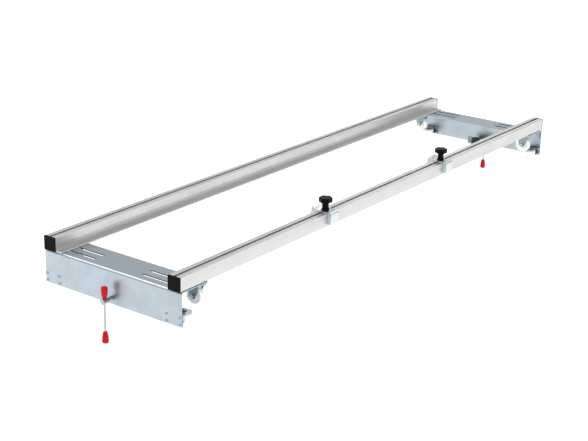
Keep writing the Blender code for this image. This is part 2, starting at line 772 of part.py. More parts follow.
def make_pad(end):
    """The pressure pad: a wide plate whose boss turns on the spindle's tip."""
    plate_inner = -(PAD_FACE - PAD_RUBBER - GAP)
    plate_outer = plate_inner + PAD_PLATE
    half_height = PAD_PLATE_HEIGHT / 2
    half_length = PAD_PLATE_LENGTH / 2
    loop = box_loop(-half_height, -half_length, half_height, half_length)
    loop = rounded_loop([(x, y, PAD_CORNER) for x, y in loop], 3)
    at_plate = Matrix.Translation((0, 0, (plate_inner + plate_outer) / 2))
    pad = flat_solid(end + "_pad_plate", [loop], PAD_PLATE, at_plate, ZINC)
    boss_length = PAD_BOSS_LENGTH + JOIN
    at_boss = Matrix.Translation((0, 0, plate_outer - JOIN + boss_length / 2))
    boss_loops = [ring(0, 0, PAD_BOSS_RADIUS, 16), ring(0, 0, PAD_BORE, 12)]
    boss = flat_solid("boss", boss_loops, boss_length, at_boss, None, CUTTERS)
    combine(pad, boss, "UNION")
    at_disc = Matrix.Translation((0, 0, -PAD_FACE + PAD_RUBBER / 2))
    disc = flat_solid(
        end + "_pad_rubber", [ring(0, 0, PAD_RUBBER_RADIUS, 24)], PAD_RUBBER, at_disc, RUBBER
    )
    return smooth(pad, 35), smooth(disc, 35)


def make_bar(end):
    """The sliding bar, hanging by its upper grip. Z runs up the bar, from the spindle's axis.
    A grip's profile runs from its bore's blind end, out over the neck, to its own closed end."""
    upper_end = SPINDLE_HEAD_RADIUS + GAP + GRIP_LENGTH
    top = upper_end - GRIP_LENGTH + GRIP_BORE_DEPTH - BAR_END_PLAY
    lower_end = upper_end - BAR_SPAN
    bottom = lower_end + GRIP_LENGTH - GRIP_BORE_DEPTH + BAR_END_PLAY
    profile = [(0, top), (BAR_RADIUS, top), (BAR_RADIUS, bottom), (0, bottom)]
    bar = turned_solid(end + "_clamp_bar", profile, 12, STEEL)
    grips = []
    necks = (("upper", upper_end - GRIP_LENGTH, 1), ("lower", lower_end + GRIP_LENGTH, -1))
    for name, neck, way in necks:
        outline = [
            (0, GRIP_BORE_DEPTH),
            (BAR_RADIUS + GAP, GRIP_BORE_DEPTH),
            (BAR_RADIUS + GAP, 0.0),
            (GRIP_NECK_RADIUS, 0.0),
            (GRIP_NECK_RADIUS + GRIP_NECK_EDGE[0], GRIP_NECK_EDGE[1]),
            (GRIP_RADIUS * GRIP_SWELL[0], GRIP_LENGTH * GRIP_SWELL[1]),
            (GRIP_RADIUS, GRIP_LENGTH * GRIP_FULL_AT),
            (GRIP_RADIUS, GRIP_LENGTH - GRIP_END_CHAMFER),
            (GRIP_RADIUS - GRIP_END_CHAMFER, GRIP_LENGTH),
            (0, GRIP_LENGTH),
        ]
        outline = [(radius, neck + way * height) for radius, height in outline]
        if way > 0:
            outline = outline[::-1]
        grip = turned_solid(f"{end}_clamp_{name}_grip", outline, 14, RED_PLASTIC)
        grips.append(smooth(grip, 35))
    return [smooth(bar, 35)] + grips


def make_clamps():
    for end, way in ENDS.items():
        axis = bpy.data.objects.new(end + "_clamp_axis", None)
        PARTS.objects.link(axis)
        axis.matrix_world = Matrix.Translation((way * HALF_LENGTH, 0, SPINDLE_Z)) @ Matrix.Rotation(
            way * math.pi / 2, 4, "Y"
        )
        for part in (make_spindle(end), make_clamp_nut(end), *make_pad(end)):
            part.parent = axis
        bar_axis = bpy.data.objects.new(end + "_bar_axis", None)
        PARTS.objects.link(bar_axis)
        bar_axis.location = (way * (HALF_LENGTH + BAR_REACH), 0, SPINDLE_Z)
        for part in make_bar(end):
            part.parent = bar_axis


make_rails()
make_crossbars()
make_castors()
make_rail_bolts()
make_rail_stops()
make_clamps()
bpy.context.view_layer.update()
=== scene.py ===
"""Looks of the guide-rail frame for a bench tile cutter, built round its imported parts."""

import math

import bmesh
import bpy
from mathutils import Matrix, Vector


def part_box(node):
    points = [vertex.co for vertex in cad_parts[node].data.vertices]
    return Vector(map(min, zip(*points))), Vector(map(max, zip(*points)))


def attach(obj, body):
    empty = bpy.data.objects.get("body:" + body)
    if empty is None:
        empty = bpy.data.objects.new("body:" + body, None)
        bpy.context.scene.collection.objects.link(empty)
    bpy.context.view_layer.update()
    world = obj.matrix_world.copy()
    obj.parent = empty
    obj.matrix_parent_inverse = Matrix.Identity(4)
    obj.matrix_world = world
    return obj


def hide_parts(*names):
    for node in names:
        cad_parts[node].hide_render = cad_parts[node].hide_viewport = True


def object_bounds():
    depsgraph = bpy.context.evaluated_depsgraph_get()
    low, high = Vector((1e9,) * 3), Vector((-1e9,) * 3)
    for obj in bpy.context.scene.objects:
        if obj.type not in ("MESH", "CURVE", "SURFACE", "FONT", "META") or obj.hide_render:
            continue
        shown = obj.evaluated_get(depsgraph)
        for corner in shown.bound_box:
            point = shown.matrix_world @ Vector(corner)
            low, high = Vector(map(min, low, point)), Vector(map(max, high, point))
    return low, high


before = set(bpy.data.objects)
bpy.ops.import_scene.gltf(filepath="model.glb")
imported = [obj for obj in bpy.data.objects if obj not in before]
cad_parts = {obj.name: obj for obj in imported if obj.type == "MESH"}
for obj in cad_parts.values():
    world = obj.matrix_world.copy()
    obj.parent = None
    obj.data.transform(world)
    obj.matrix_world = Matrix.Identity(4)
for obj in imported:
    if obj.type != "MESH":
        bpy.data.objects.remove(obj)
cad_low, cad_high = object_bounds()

# ---- Crossbars ----------------------------------------------------------------------------
# Two pieces of 3 mm cold-rolled steel sheet, punched flat and folded once to a deep L, then
# zinc plated and blue passivated. The plate has the slots that the rails are adjusted in, and
# the skirt hangs past the end of the bench.

ENDS = {"near": -1, "far": 1}
SIDES = {"front": -1, "back": 1}
SHEET = 0.003
FOLD_RADIUS = 0.007
ADJUST_SLOTS = (0.031, 0.063)
ADJUST_SLOT_ENDS = (0.083, 0.230)
ADJUST_SLOT_WIDTH = 0.0082
# A slot's ends are just short of half circles, so that no two points meet
SLOT_END_ROUND = 0.98
CLAMP_HOLE = 0.0066
CASTOR_HOLE = 0.00275
CASTOR_HOLES_LONG = 0.023
CASTOR_HOLES_WIDE = 0.010
HOLE_POINTS = 24
COUNTERSINK = 0.0049
PUNCHED_EDGE = 0.00035
# The smallest slot wall face that gets the blue-black painted shade
SLOT_SHADE_MIN_AREA = 0.000002

# Points closer than this are one point
MERGE = 0.000005

# An outline's x and y become world Y and Z, or world X and Z
ALONG_X = Matrix(((0, 0, 1, 0), (1, 0, 0, 0), (0, 1, 0, 0), (0, 0, 0, 1)))
ALONG_Y = Matrix(((1, 0, 0, 0), (0, 0, -1, 0), (0, 1, 0, 0), (0, 0, 0, 1)))


def shift(x, y, z):
    return Matrix.Translation((x, y, z))


def box_middle(node, axis):
    """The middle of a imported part's box along one axis."""
    low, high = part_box(node)
    return (low[axis] + high[axis]) / 2


def arc_corner(before, corner, after, radius, steps):
    """Points of the arc that rounds one corner of an outline."""
    at = Vector(corner)
    towards_before = (Vector(before) - at).normalized()
    towards_after = (Vector(after) - at).normalized()
    half_angle = towards_before.angle(towards_after) / 2
    centre = at + (towards_before + towards_after).normalized() * (radius / math.sin(half_angle))
    start = at + towards_before * (radius / math.tan(half_angle)) - centre
    end = at + towards_after * (radius / math.tan(half_angle)) - centre
    turn = end.angle_signed(start)
    parts = max(1, round(steps * abs(turn) / (math.pi / 2)))
    return [tuple(centre + Matrix.Rotation(turn * n / parts, 2) @ start) for n in range(parts + 1)]


def rounded(corners, steps=6, closed=True):
    """An outline through (x, y, radius) corners, with so many steps to a quarter turn."""
    outline = []
    for index, (x, y, radius) in enumerate(corners):
        inside = closed or 0 < index < len(corners) - 1
        if radius and inside:
            before = corners[index - 1][:2]
            after = corners[(index + 1) % len(corners)][:2]
            outline += arc_corner(before, (x, y), after, radius, steps)
        else:
            outline.append((x, y))
    return outline


def bent_strip(path, thickness):
    """The outline of a sheet that is bent along a path."""
    left = []
    right = []
    for index, point in enumerate(path):
        before = Vector(path[max(index - 1, 0)])
        after = Vector(path[min(index + 1, len(path) - 1)])
        along = (after - before).normalized()
        across = Vector((-along.y, along.x)) * thickness / 2
        left.append(tuple(Vector(point) + across))
        right.append(tuple(Vector(point) - across))
    return left + right[::-1]


def ring(x, y, radius, points):
    turns = [math.tau * n / points for n in range(points)]
    return [(x + radius * math.cos(turn), y + radius * math.sin(turn)) for turn in turns]


def rectangle(low_x, low_y, high_x, high_y, radius=0.0):
    corners = ((low_x, low_y), (high_x, low_y), (high_x, high_y), (low_x, high_y))
    return rounded([(x, y, radius) for x, y in corners])


def as_mesh(shape):
    """Welds a bmesh, turns its faces outwards and gives it back as a mesh."""
    bmesh.ops.remove_doubles(shape, verts=shape.verts, dist=MERGE)
    bmesh.ops.recalc_face_normals(shape, faces=shape.faces)
    mesh = bpy.data.meshes.new("shape")
    shape.to_mesh(mesh)
    shape.free()
    return mesh


def extruded(loops, thickness, matrix=None):
    """Flat outlines, with any holes in them, given their thickness about their own plane."""
    curve = bpy.data.curves.new("outline", "CURVE")
    curve.dimensions = "2D"
    curve.fill_mode = "BOTH"
    curve.extrude = thickness / 2
    for loop in loops:
        spline = curve.splines.new("POLY")
        spline.points.add(len(loop) - 1)
        for point, (x, y) in zip(spline.points, loop):
            point.co = (x, y, 0.0, 1.0)
        spline.use_cyclic_u = True
    guide = bpy.data.objects.new("outline", curve)
    bpy.context.scene.collection.objects.link(guide)
    graph = bpy.context.evaluated_depsgraph_get()
    shape = bmesh.new()
    shape.from_mesh(bpy.data.meshes.new_from_object(guide.evaluated_get(graph)))
    bpy.data.objects.remove(guide)
    if matrix:
        shape.transform(matrix)
    return as_mesh(shape)


def level(height, reach, points):
    """A ring of points at one height. The reach is a radius, or gives one for each angle."""
    turns = [math.tau * n / points for n in range(points)]
    reaches = [reach(turn) if callable(reach) else reach for turn in turns]
    return [(r * math.cos(turn), r * math.sin(turn), height) for r, turn in zip(reaches, turns)]


def lofted(levels, closed=False):
    """Joins rings of points one to the next. The last joins the first, or both ends are filled."""
    shape = bmesh.new()
    rings = [[shape.verts.new(point) for point in points] for points in levels]
    for lower, upper in zip(rings, rings[1:] + rings[:1] if closed else rings[1:]):
        for n, corner in enumerate(lower):
            after = (n + 1) % len(lower)
            shape.faces.new((corner, lower[after], upper[after], upper[n]))
    if not closed:
        shape.faces.new(rings[0][::-1])
        shape.faces.new(rings[-1])
    return as_mesh(shape)


def turned(profile, points=48):
    """A (radius, height) profile turned about Z. One that comes back to its start is a ring."""
    closed = profile[0] == profile[-1]
    outline = [point for point in (profile[1:] if closed else profile) if point[0]]
    return lofted([level(height, radius, points) for radius, height in outline], closed)


def copies(mesh, spots):
    """One mesh that holds a copy of another at each spot."""
    shape = bmesh.new()
    for spot in spots:
        one = mesh.copy()
        one.transform(spot)
        shape.from_mesh(one)
        bpy.data.meshes.remove(one)
    return as_mesh(shape)


def combined(mesh, other, operation):
    """The exact union or difference of two meshes, welded clean."""
    pair = []
    for part in (mesh, other):
        holder = bpy.data.objects.new("boolean", part)
        bpy.context.scene.collection.objects.link(holder)
        pair.append(holder)
    boolean = pair[0].modifiers.new("boolean", "BOOLEAN")
    boolean.operation = operation
    boolean.object = pair[1]
    graph = bpy.context.evaluated_depsgraph_get()
    shape = bmesh.new()
    shape.from_mesh(bpy.data.meshes.new_from_object(pair[0].evaluated_get(graph)))
    for holder in pair:
        bpy.data.objects.remove(holder)
    bmesh.ops.dissolve_degenerate(shape, edges=shape.edges, dist=MERGE)
    return as_mesh(shape)


def put(name, mesh, material, spot, edge=0.0, segments=2, degrees=35):
    """Sets a mesh in its place as a piece, with its sharp edges rounded."""
    piece = bpy.data.objects.new(name, mesh)
    bpy.context.scene.collection.objects.link(piece)
    piece.matrix_world = spot
    mesh.materials.clear()
    mesh.materials.append(material)
    mesh.shade_smooth()
    if edge:
        bevel = piece.modifiers.new("rounded_edges", "BEVEL")
        bevel.width = edge
        bevel.segments = segments
        bevel.limit_method = "ANGLE"
        bevel.angle_limit = math.radians(degrees)
    else:
        mesh.set_sharp_from_angle(angle=math.radians(degrees))
    weighted = piece.modifiers.new("flat_faces_stay_flat", "WEIGHTED_NORMAL")
    weighted.keep_sharp = True
    return piece


def linear(hex_colour):
    """A colour written as sRGB hex, in the linear values that shaders take."""
    channels = [int(hex_colour[at : at + 2], 16) / 255 for at in (1, 3, 5)]
    return [c / 12.92 if c <= 0.04045 else ((c + 0.055) / 1.055) ** 2.4 for c in channels] + [1.0]


def add(material, kind, sockets, **settings):
    """Adds a node. A socket takes a plain value, or another node's output to be joined to."""
    made = material.node_tree.nodes.new("ShaderNode" + kind)
    for setting, value in settings.items():
        setattr(made, setting, value)
    for socket, value in sockets.items():
        if isinstance(value, bpy.types.NodeSocket):
            material.node_tree.links.new(value, made.inputs[socket])
        else:
            made.inputs[socket].default_value = value
    return made


def new_material(name):
    material = bpy.data.materials.new(name)
    material.use_nodes = True
    material.node_tree.nodes.clear()
    return material


def zinc_plated(name, colour, shade, roughness, marks_along, mark_spacing):
    """Zinc plate over rolled steel: a cloudy blue-grey passivated film that keeps the mill's
    fine rolling marks. The film breaks the reflection up without making it dull. Faces that
    are marked for the slot shade are blue-black: painted shade that darkens the slots."""
    material = new_material(name)
    place = add(material, "TexCoord", {}).outputs["Object"]
    # Rolling marks are some 60 times as long as the gap between them
    stretch = [1 / mark_spacing] * 3
    stretch[marks_along] = 1 / (60 * mark_spacing)
    marks_at = add(material, "Mapping", {"Vector": place, "Scale": stretch}).outputs[0]
    marks = add(material, "TexNoise", {"Vector": marks_at, "Scale": 1.0, "Detail": 3.0})
    # Clouds in the passivated film, 45 mm across with finer ones inside them
    cloud_size = {"Scale": 1 / 0.045, "Detail": 4.0, "Roughness": 0.6}
    clouds = add(material, "TexNoise", {"Vector": place, **cloud_size}).outputs["Fac"]
    # Plating grain of about 1.2 mm, coarser than the real one so that it shows
    grain = add(material, "TexNoise", {"Vector": place, "Scale": 1 / 0.0012, "Detail": 2.0})
    cloudy = add(material, "MapRange", {"Value": clouds, "From Min": 0.36, "From Max": 0.66})
    film_colours = {0: cloudy.outputs[0], 6: linear(colour), 7: linear(shade)}
    film = add(material, "Mix", film_colours, data_type="RGBA")
    mark_range = {"From Min": 0.3, "From Max": 0.7, "To Max": 0.22}
    marked = add(material, "MapRange", {"Value": marks.outputs["Fac"], **mark_range})
    rolled_colours = {0: marked.outputs[0], 6: film.outputs[2], 7: linear(shade)}
    rolled = add(material, "Mix", rolled_colours, data_type="RGBA")
    # Blue-black painted shade on the faces that the mesh marks for it, to darken the slots
    slot_shade = add(material, "Attribute", {}, attribute_name="painted_slot_shade").outputs["Fac"]
    finish_colours = {0: slot_shade, 6: rolled.outputs[2], 7: linear("#1B232B")}
    finish = add(material, "Mix", finish_colours, data_type="RGBA")
    dull_range = {"To Min": roughness - 0.05, "To Max": roughness + 0.07}
    dullness = add(
        material, "MapRange", {"Value": clouds, "From Min": 0.3, "From Max": 0.7, **dull_range}
    )
    ripple_depth = {"Strength": 0.10, "Distance": 0.0004}
    ripple = add(material, "Bump", {"Height": marks.outputs["Fac"], **ripple_depth})
    relief_depth = {"Strength": 0.08, "Distance": 0.0003, "Normal": ripple.outputs[0]}
    relief = add(material, "Bump", {"Height": grain.outputs["Fac"], **relief_depth})
    shader = add(
        material,
        "BsdfPrincipled",
        {
            "Base Color": finish.outputs[2],
            "Metallic": 1.0,
            "Roughness": dullness.outputs[0],
            "Normal": relief.outputs[0],
        },
    )
    add(material, "OutputMaterial", {"Surface": shader.outputs[0]})
    return material


sheet_zinc = zinc_plated("blue_zinc_plated_sheet", "#AEB8C0", "#A7B2BA", 0.37, 1, 0.0016)

crossbar_low, crossbar_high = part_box("near_crossbar")
plate_width = crossbar_high.x - crossbar_low.x
skirt_drop = crossbar_high.z - crossbar_low.z
crossbar_length = crossbar_high.y - crossbar_low.y
plate_top = crossbar_high.z
half_length = -crossbar_low.x
castor_y = box_middle("near_back_top_wheel", 1)
top_castor_inset = half_length + box_middle("near_back_top_wheel", 0)
side_castor_drop = plate_top - box_middle("near_back_side_wheel", 2)
clamp_drop = plate_top - box_middle("near_clamp_nut", 2)

middle = SHEET / 2
fold = [
    (plate_width, -middle, 0),
    (middle, -middle, FOLD_RADIUS - middle),
    (middle, -skirt_drop, 0),
]
crossbar_mesh = extruded(
    [bent_strip(rounded(fold, 16, closed=False), SHEET)], crossbar_length, ALONG_Y
)
plate_holes = []
skirt_holes = [ring(0, -clamp_drop, CLAMP_HOLE, 40)]
countersinks = []
countersink_cone = turned(
    [(COUNTERSINK + SHEET, SHEET), (CASTOR_HOLE / 2, CASTOR_HOLE / 2 - COUNTERSINK)], 32
)
for sign in SIDES.values():
    slot_low, slot_high = sorted(sign * end for end in ADJUST_SLOT_ENDS)
    for inset in ADJUST_SLOTS:
        reach = ADJUST_SLOT_WIDTH / 2
        plate_holes.append(
            rectangle(inset - reach, slot_low, inset + reach, slot_high, SLOT_END_ROUND * reach)
        )
    for long in (-CASTOR_HOLES_LONG, CASTOR_HOLES_LONG):
        for wide in (-CASTOR_HOLES_WIDE, CASTOR_HOLES_WIDE):
            y = sign * castor_y + long
            plate_holes.append(ring(top_castor_inset + wide, y, CASTOR_HOLE, HOLE_POINTS))
            skirt_holes.append(ring(y, wide - side_castor_drop, CASTOR_HOLE, HOLE_POINTS))
            countersinks.append(shift(top_castor_inset + wide, y, 0))
for cutter in (
    extruded(plate_holes, 4 * SHEET, shift(0, 0, -middle)),
    extruded(skirt_holes, 4 * SHEET, shift(middle, 0, 0) @ ALONG_X),
    copies(countersink_cone, countersinks),
):
    crossbar_mesh = combined(crossbar_mesh, cutter, "DIFFERENCE")
# The adjusting slots are cut by laser. Their walls get a blue-black painted shade that darkens the
# slots
slot_wall_shade = crossbar_mesh.attributes.new("painted_slot_shade", "FLOAT", "FACE")
for face, wall in zip(crossbar_mesh.polygons, slot_wall_shade.data):
    in_slot = ADJUST_SLOT_ENDS[0] < abs(face.center.y) < ADJUST_SLOT_ENDS[1]
    on_plate = FOLD_RADIUS < face.center.x < plate_width - ADJUST_SLOT_WIDTH
    if in_slot and on_plate and abs(face.normal.z) < 0.5 and face.area > SLOT_SHADE_MIN_AREA:
        wall.value = 1.0

for end, way in ENDS.items():
    turn = Matrix.Rotation(0 if way < 0 else math.pi, 4, "Z")
    spot = shift(way * half_length, 0, plate_top) @ turn
    sheet = put(end + "_crossbar_sheet", crossbar_mesh, sheet_zinc, spot, PUNCHED_EDGE, 2, 50)
    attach(sheet, "frame")
    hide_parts(end + "_crossbar")


# ---- Castor forks -------------------------------------------------------------------------
# A fixed fork pressed from 2 mm steel: a drilled plate with two tapered legs, each with a
# raised boss round the axle hole. Barrel zinc plated, so it is greyer and duller than the sheet.

FORK_LEG = 0.0020
FORK_PLATE = 0.0025
FORK_INSIDE = 0.0100
FORK_SHOULDER = 0.019
FORK_TIP = 0.0078
FORK_TIP_ROUND = 0.85 * FORK_TIP
FORK_HALF_WIDE = 0.015
FORK_HALF_LONG = 0.028
FORK_KNEE_DROP = 0.008
FORK_KNEE_CORNER = 0.004
FORK_CORNER = 0.003
FORK_EDGE = 0.0005
BOSS_RADIUS = 0.0068
BOSS_HEIGHT = 0.0002
AXLE_BORE = 0.0033
CASTOR_HEIGHT = 0.0367

fork_zinc = zinc_plated("barrel_zinc_plated_pressing", "#8D9C9F", "#7C8C90", 0.40, 2, 0.0011)

fork_mesh = extruded(
    [rectangle(-FORK_HALF_WIDE, -FORK_HALF_LONG, FORK_HALF_WIDE, FORK_HALF_LONG, FORK_CORNER)],
    FORK_PLATE,
    shift(0, 0, CASTOR_HEIGHT - FORK_PLATE / 2),
)
shoulder = CASTOR_HEIGHT - FORK_PLATE / 2
knee = shoulder - FORK_KNEE_DROP
leg_outline = rounded(
    [
        (-FORK_SHOULDER, shoulder, 0),
        (-FORK_SHOULDER, knee, FORK_KNEE_CORNER),
        (-FORK_TIP, -FORK_TIP, FORK_TIP_ROUND),
        (FORK_TIP, -FORK_TIP, FORK_TIP_ROUND),
        (FORK_SHOULDER, knee, FORK_KNEE_CORNER),
        (FORK_SHOULDER, shoulder, 0),
    ],
    10,
)
for sign in (-1, 1):
    leg_at = shift(sign * (FORK_INSIDE + FORK_LEG / 2), 0, 0) @ ALONG_X
    boss_at = shift(sign * (FORK_INSIDE + FORK_LEG), 0, 0) @ ALONG_X
    fork_mesh = combined(fork_mesh, extruded([leg_outline], FORK_LEG, leg_at), "UNION")
    boss = extruded([ring(0, 0, BOSS_RADIUS, 40)], 2 * BOSS_HEIGHT, boss_at)
    fork_mesh = combined(fork_mesh, boss, "UNION")
fork_mesh = combined(
    fork_mesh, extruded([ring(0, 0, AXLE_BORE, 32)], 4 * FORK_INSIDE, ALONG_X), "DIFFERENCE"
)
bolt_pattern = [
    (wide, long)
    for wide in (-CASTOR_HOLES_WIDE, CASTOR_HOLES_WIDE)
    for long in (-CASTOR_HOLES_LONG, CASTOR_HOLES_LONG)
]
fork_holes = [ring(wide, long, CASTOR_HOLE, HOLE_POINTS) for wide, long in bolt_pattern]
fork_mesh = combined(
    fork_mesh, extruded(fork_holes, 4 * FORK_PLATE, shift(0, 0, CASTOR_HEIGHT)), "DIFFERENCE"
)

# Where each castor's wheel centre is, with its local Z towards the sheet that it is screwed to
castors = {}
for end, way in ENDS.items():
    for side in SIDES:
        for kind in ("top", "side"):
            low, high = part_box(f"{end}_{side}_{kind}_wheel")
            turn = Matrix.Rotation(way * math.pi / 2 if kind == "side" else 0, 4, "Y")
            castors[f"{end}_{side}_{kind}"] = Matrix.Translation((low + high) / 2) @ turn

for castor, spot in castors.items():
    fork = put(castor + "_fork_pressing", fork_mesh, fork_zinc, spot, FORK_EDGE, 3)
    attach(fork, "frame")
    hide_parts(castor + "_fork")


# ---- Castor wheels ------------------------------------------------------------------------
# Solid 50 mm wheels injection moulded in white nylon round a steel tube bush. The web is
# dished, with thin ribs from hub to rim, and the mould's parting line runs round the tread.

WHEEL_RADIUS = 0.025
TREAD_HALF = 0.0085
TREAD_CORNER = 0.0018
PARTING_LINE = 0.00012
HUB_HALF = 0.0094
HUB_RADIUS = 0.0088
RIM_RADIUS = 0.0193
WEB_HALF = 0.0050
WEB_FILLET = 0.0014
# The hub's and rim's sides lean by this much, to come out of the mould
MOULD_DRAFT = 0.0006
HUB_EDGE = 0.0008
RIM_EDGE = 0.0006
BUSH_RADIUS = 0.0046
BUSH_EDGE = 0.0002
RIBS = 6
RIB_WIDTH = 0.0016
RIB_HALF = 0.0072
RIB_ROOT = 0.0010


def moulded(name, colours, patches, grain, roughness, relief, shading, dulled_by="patches"):
    """A moulding. Broad patches shift its colour, and fine grain from the mould's own surface
    stands on it. Either of them sets how dull it is. Each is given as its node's values."""
    material = new_material(name)
    place = add(material, "TexCoord", {}).outputs["Object"]
    broad = add(material, "TexNoise", {"Vector": place, **patches}).outputs["Fac"]
    fine = add(material, "TexNoise", {"Vector": place, **grain}).outputs["Fac"]
    share = {0: broad, 6: linear(colours[0]), 7: linear(colours[1])}
    colour = add(material, "Mix", share, data_type="RGBA")
    dull = fine if dulled_by == "grain" else broad
    dullness = add(material, "MapRange", {"Value": dull, **roughness})
    bump = add(material, "Bump", {"Height": fine, **relief})
    skin = {
        "Base Color": colour.outputs[2],
        "Roughness": dullness.outputs[0],
        "Normal": bump.outputs[0],
    }
    shader = add(material, "BsdfPrincipled", {**skin, **shading})
    add(material, "OutputMaterial", {"Surface": shader.outputs[0]})
    return material


# Natural nylon is translucent and milky: light spreads some 5 mm under its skin. Its flow marks
# are 12 mm across, and the mould's grain is 0.9 mm
nylon = moulded(
    "moulded_white_nylon",
    ("#FEFEFD", "#F7F7F5"),
    patches={"Scale": 1 / 0.012, "Detail": 4.0, "Distortion": 0.8},
    grain={"Scale": 1 / 0.0009, "Detail": 2.0},
    roughness={"To Min": 0.36, "To Max": 0.52},
    relief={"Strength": 0.10, "Distance": 0.0002},
    shading={
        "IOR": 1.53,
        "Subsurface Weight": 0.7,
        "Subsurface Radius": (0.0050, 0.0048, 0.0046),
        "Subsurface Scale": 1.0,
    },
    dulled_by="grain",
)

half_wheel = rounded(
    [
        (BUSH_RADIUS, HUB_HALF, 0),
        (HUB_RADIUS, HUB_HALF, HUB_EDGE),
        (HUB_RADIUS + MOULD_DRAFT, WEB_HALF, WEB_FILLET),
        (RIM_RADIUS - MOULD_DRAFT, WEB_HALF, WEB_FILLET),
        (RIM_RADIUS, TREAD_HALF, RIM_EDGE),
        (WHEEL_RADIUS, TREAD_HALF, TREAD_CORNER),
        (WHEEL_RADIUS, 3 * PARTING_LINE, 0),
    ],
    5,
    closed=False,
)
# The parting line stands a hair inside the tread's true radius, with the tread eased under it
half_wheel = [(min(r, WHEEL_RADIUS - PARTING_LINE), z) for r, z in half_wheel]
crest = [(WHEEL_RADIUS, 0.0)]
turn_to_x = Matrix.Rotation(math.pi / 2, 4, "Y")
wheel_profile = half_wheel + crest + [(r, -z) for r, z in half_wheel[::-1]]
wheel_mesh = turned(wheel_profile + wheel_profile[:1], 96)
wheel_mesh.transform(turn_to_x)
rib_middle = (HUB_RADIUS + RIM_RADIUS) / 2
rib_reach = (RIM_RADIUS - HUB_RADIUS) / 2 + RIB_ROOT
rib = extruded(
    [rectangle(-RIB_WIDTH / 2, rib_middle - rib_reach, RIB_WIDTH / 2, rib_middle + rib_reach)],
    2 * RIB_HALF,
    ALONG_X,
)
rib_turns = [Matrix.Rotation(math.tau * n / RIBS, 4, "X") for n in range(RIBS)]
wheel_mesh = combined(wheel_mesh, copies(rib, rib_turns), "UNION")
bush_mesh = turned(
    [
        (AXLE_BORE, HUB_HALF),
        (BUSH_RADIUS, HUB_HALF),
        (BUSH_RADIUS, -HUB_HALF),
        (AXLE_BORE, -HUB_HALF),
        (AXLE_BORE, HUB_HALF),
    ],
    32,
)
bush_mesh.transform(turn_to_x)

fastener_steel = zinc_plated("zinc_plated_fastener", "#BFC6CA", "#A4ADB3", 0.30, 2, 0.0006)

for castor, spot in castors.items():
    wheel = put(castor + "_wheel_moulding", wheel_mesh, nylon, spot, degrees=40)
    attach(wheel, castor + "_wheel")
    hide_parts(castor + "_wheel")
    bush = put(castor + "_wheel_bush", bush_mesh, fastener_steel, spot, BUSH_EDGE)
    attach(bush, castor + "_wheel")


# ---- Axle bolts and castor screws ---------------------------------------------------------
# M6 hexagon bolts with nylon-insert lock nuts carry the wheels. M5 screws hold each castor:
# countersunk flush in the plate, button heads outside the skirt, and hexagon nuts inside.

AXLE_RADIUS = 0.0030
AXLE_PITCH = 0.0010
AXLE_END = 0.0012
AXLE_HEAD = 0.0040
AXLE_NUT = 0.0050
AXLE_HEX = 0.0056
# A lock nut's collar: how far up the nut it starts and turns in, and how far it reaches
COLLAR_HEIGHTS = (0.75, 0.94)
COLLAR_REACHES = (0.80, 0.72)
# Degrees
CORNER_CHAMFER = 30
SHARP_EDGE = 25
# A thread's depth and shape for its pitch, and how much of it a chamfered end takes off
THREAD_DEPTH = 0.55
THREAD_FLANK = 0.6
THREAD_CREST = 0.3
THREAD_CHAMFER = 0.7
SCREW_RADIUS = 0.0024
SCREW_PITCH = 0.0008
SCREW_NUT = 0.0040
SCREW_NUT_HEX = 0.0046
SCREW_END = 0.0014
BUTTON_RADIUS = 0.0047
BUTTON_HEIGHT = 0.0026
# How wide the flat on a button head is, and how high its upright edge, for its size
BUTTON_FLAT = 0.55
BUTTON_SKIRT = 0.35
BUTTON_SHOULDER = 0.0012
BUTTON_EDGE = 0.0003
SOCKET_RADIUS = 0.0017
SOCKET_DEPTH = 0.0015
# How far below the skin a flush head meets its shank
FLUSH_HEAD = 0.0026
GAP = 0.0003
# Parts that are screwed tight are still drawn this far apart
HAIR = 0.0001
NUT_LEAD = 0.0003
ROUND_POINTS = 48


def thread_levels(radius, pitch, low, high, points, per_turn):
    """Levels of a rod along Z with a right-hand thread in it and a chamfer at both ends."""
    depth = THREAD_DEPTH * pitch
    count = round((high - low) / pitch * per_turn)
    levels = []
    for step in range(count + 1):
        z = low + (high - low) * step / count
        from_end = min(1.0, (z - low) / pitch, (high - z) / pitch)

        def reach(turn):
            phase = (z / pitch - turn / math.tau) % 1.0
            flank = abs(2 * phase - 1) / THREAD_FLANK - THREAD_CREST
            groove = 1.0 - min(1.0, max(0.0, flank))
            return radius - depth * max(groove, THREAD_CHAMFER * (1 - from_end))

        levels.append(level(z, reach, points))
    return levels


def hexagon(radius):
    """How far a hexagon's sides reach at each angle, for a radius to its corners."""
    flat = radius * math.cos(math.pi / 6)
    return lambda turn: flat / math.cos(turn % (math.pi / 3) - math.pi / 6)


def hex_levels(radius, low, high, points=ROUND_POINTS):
    """Levels of a hexagon with its corners turned off at both ends, as a nut's are."""
    flat = 0.98 * radius * math.cos(math.pi / 6)
    slope = math.tan(math.radians(CORNER_CHAMFER))
    fall = (radius - flat) * slope
    heights = [low + fall * step / 4 for step in range(5)]
    heights += [low + high - height for height in heights[::-1]]
    side = hexagon(radius)
    levels = []
    for height in heights:
        widest = flat + min(height - low, high - height) / slope
        levels.append(level(height, lambda turn: min(side(turn), widest), points))
    return levels


def bore_levels(radius, high, low, points=ROUND_POINTS):
    """Levels down a nut's bore, with a small chamfer at each mouth."""
    mouth = radius + NUT_LEAD
    profile = ((mouth, high), (radius, high - NUT_LEAD), (radius, low + NUT_LEAD), (mouth, low))
    return [level(height, reach, points) for reach, height in profile]


outside = FORK_INSIDE + FORK_LEG + GAP
axle_levels = hex_levels(AXLE_HEX, -outside - AXLE_HEAD, -outside)
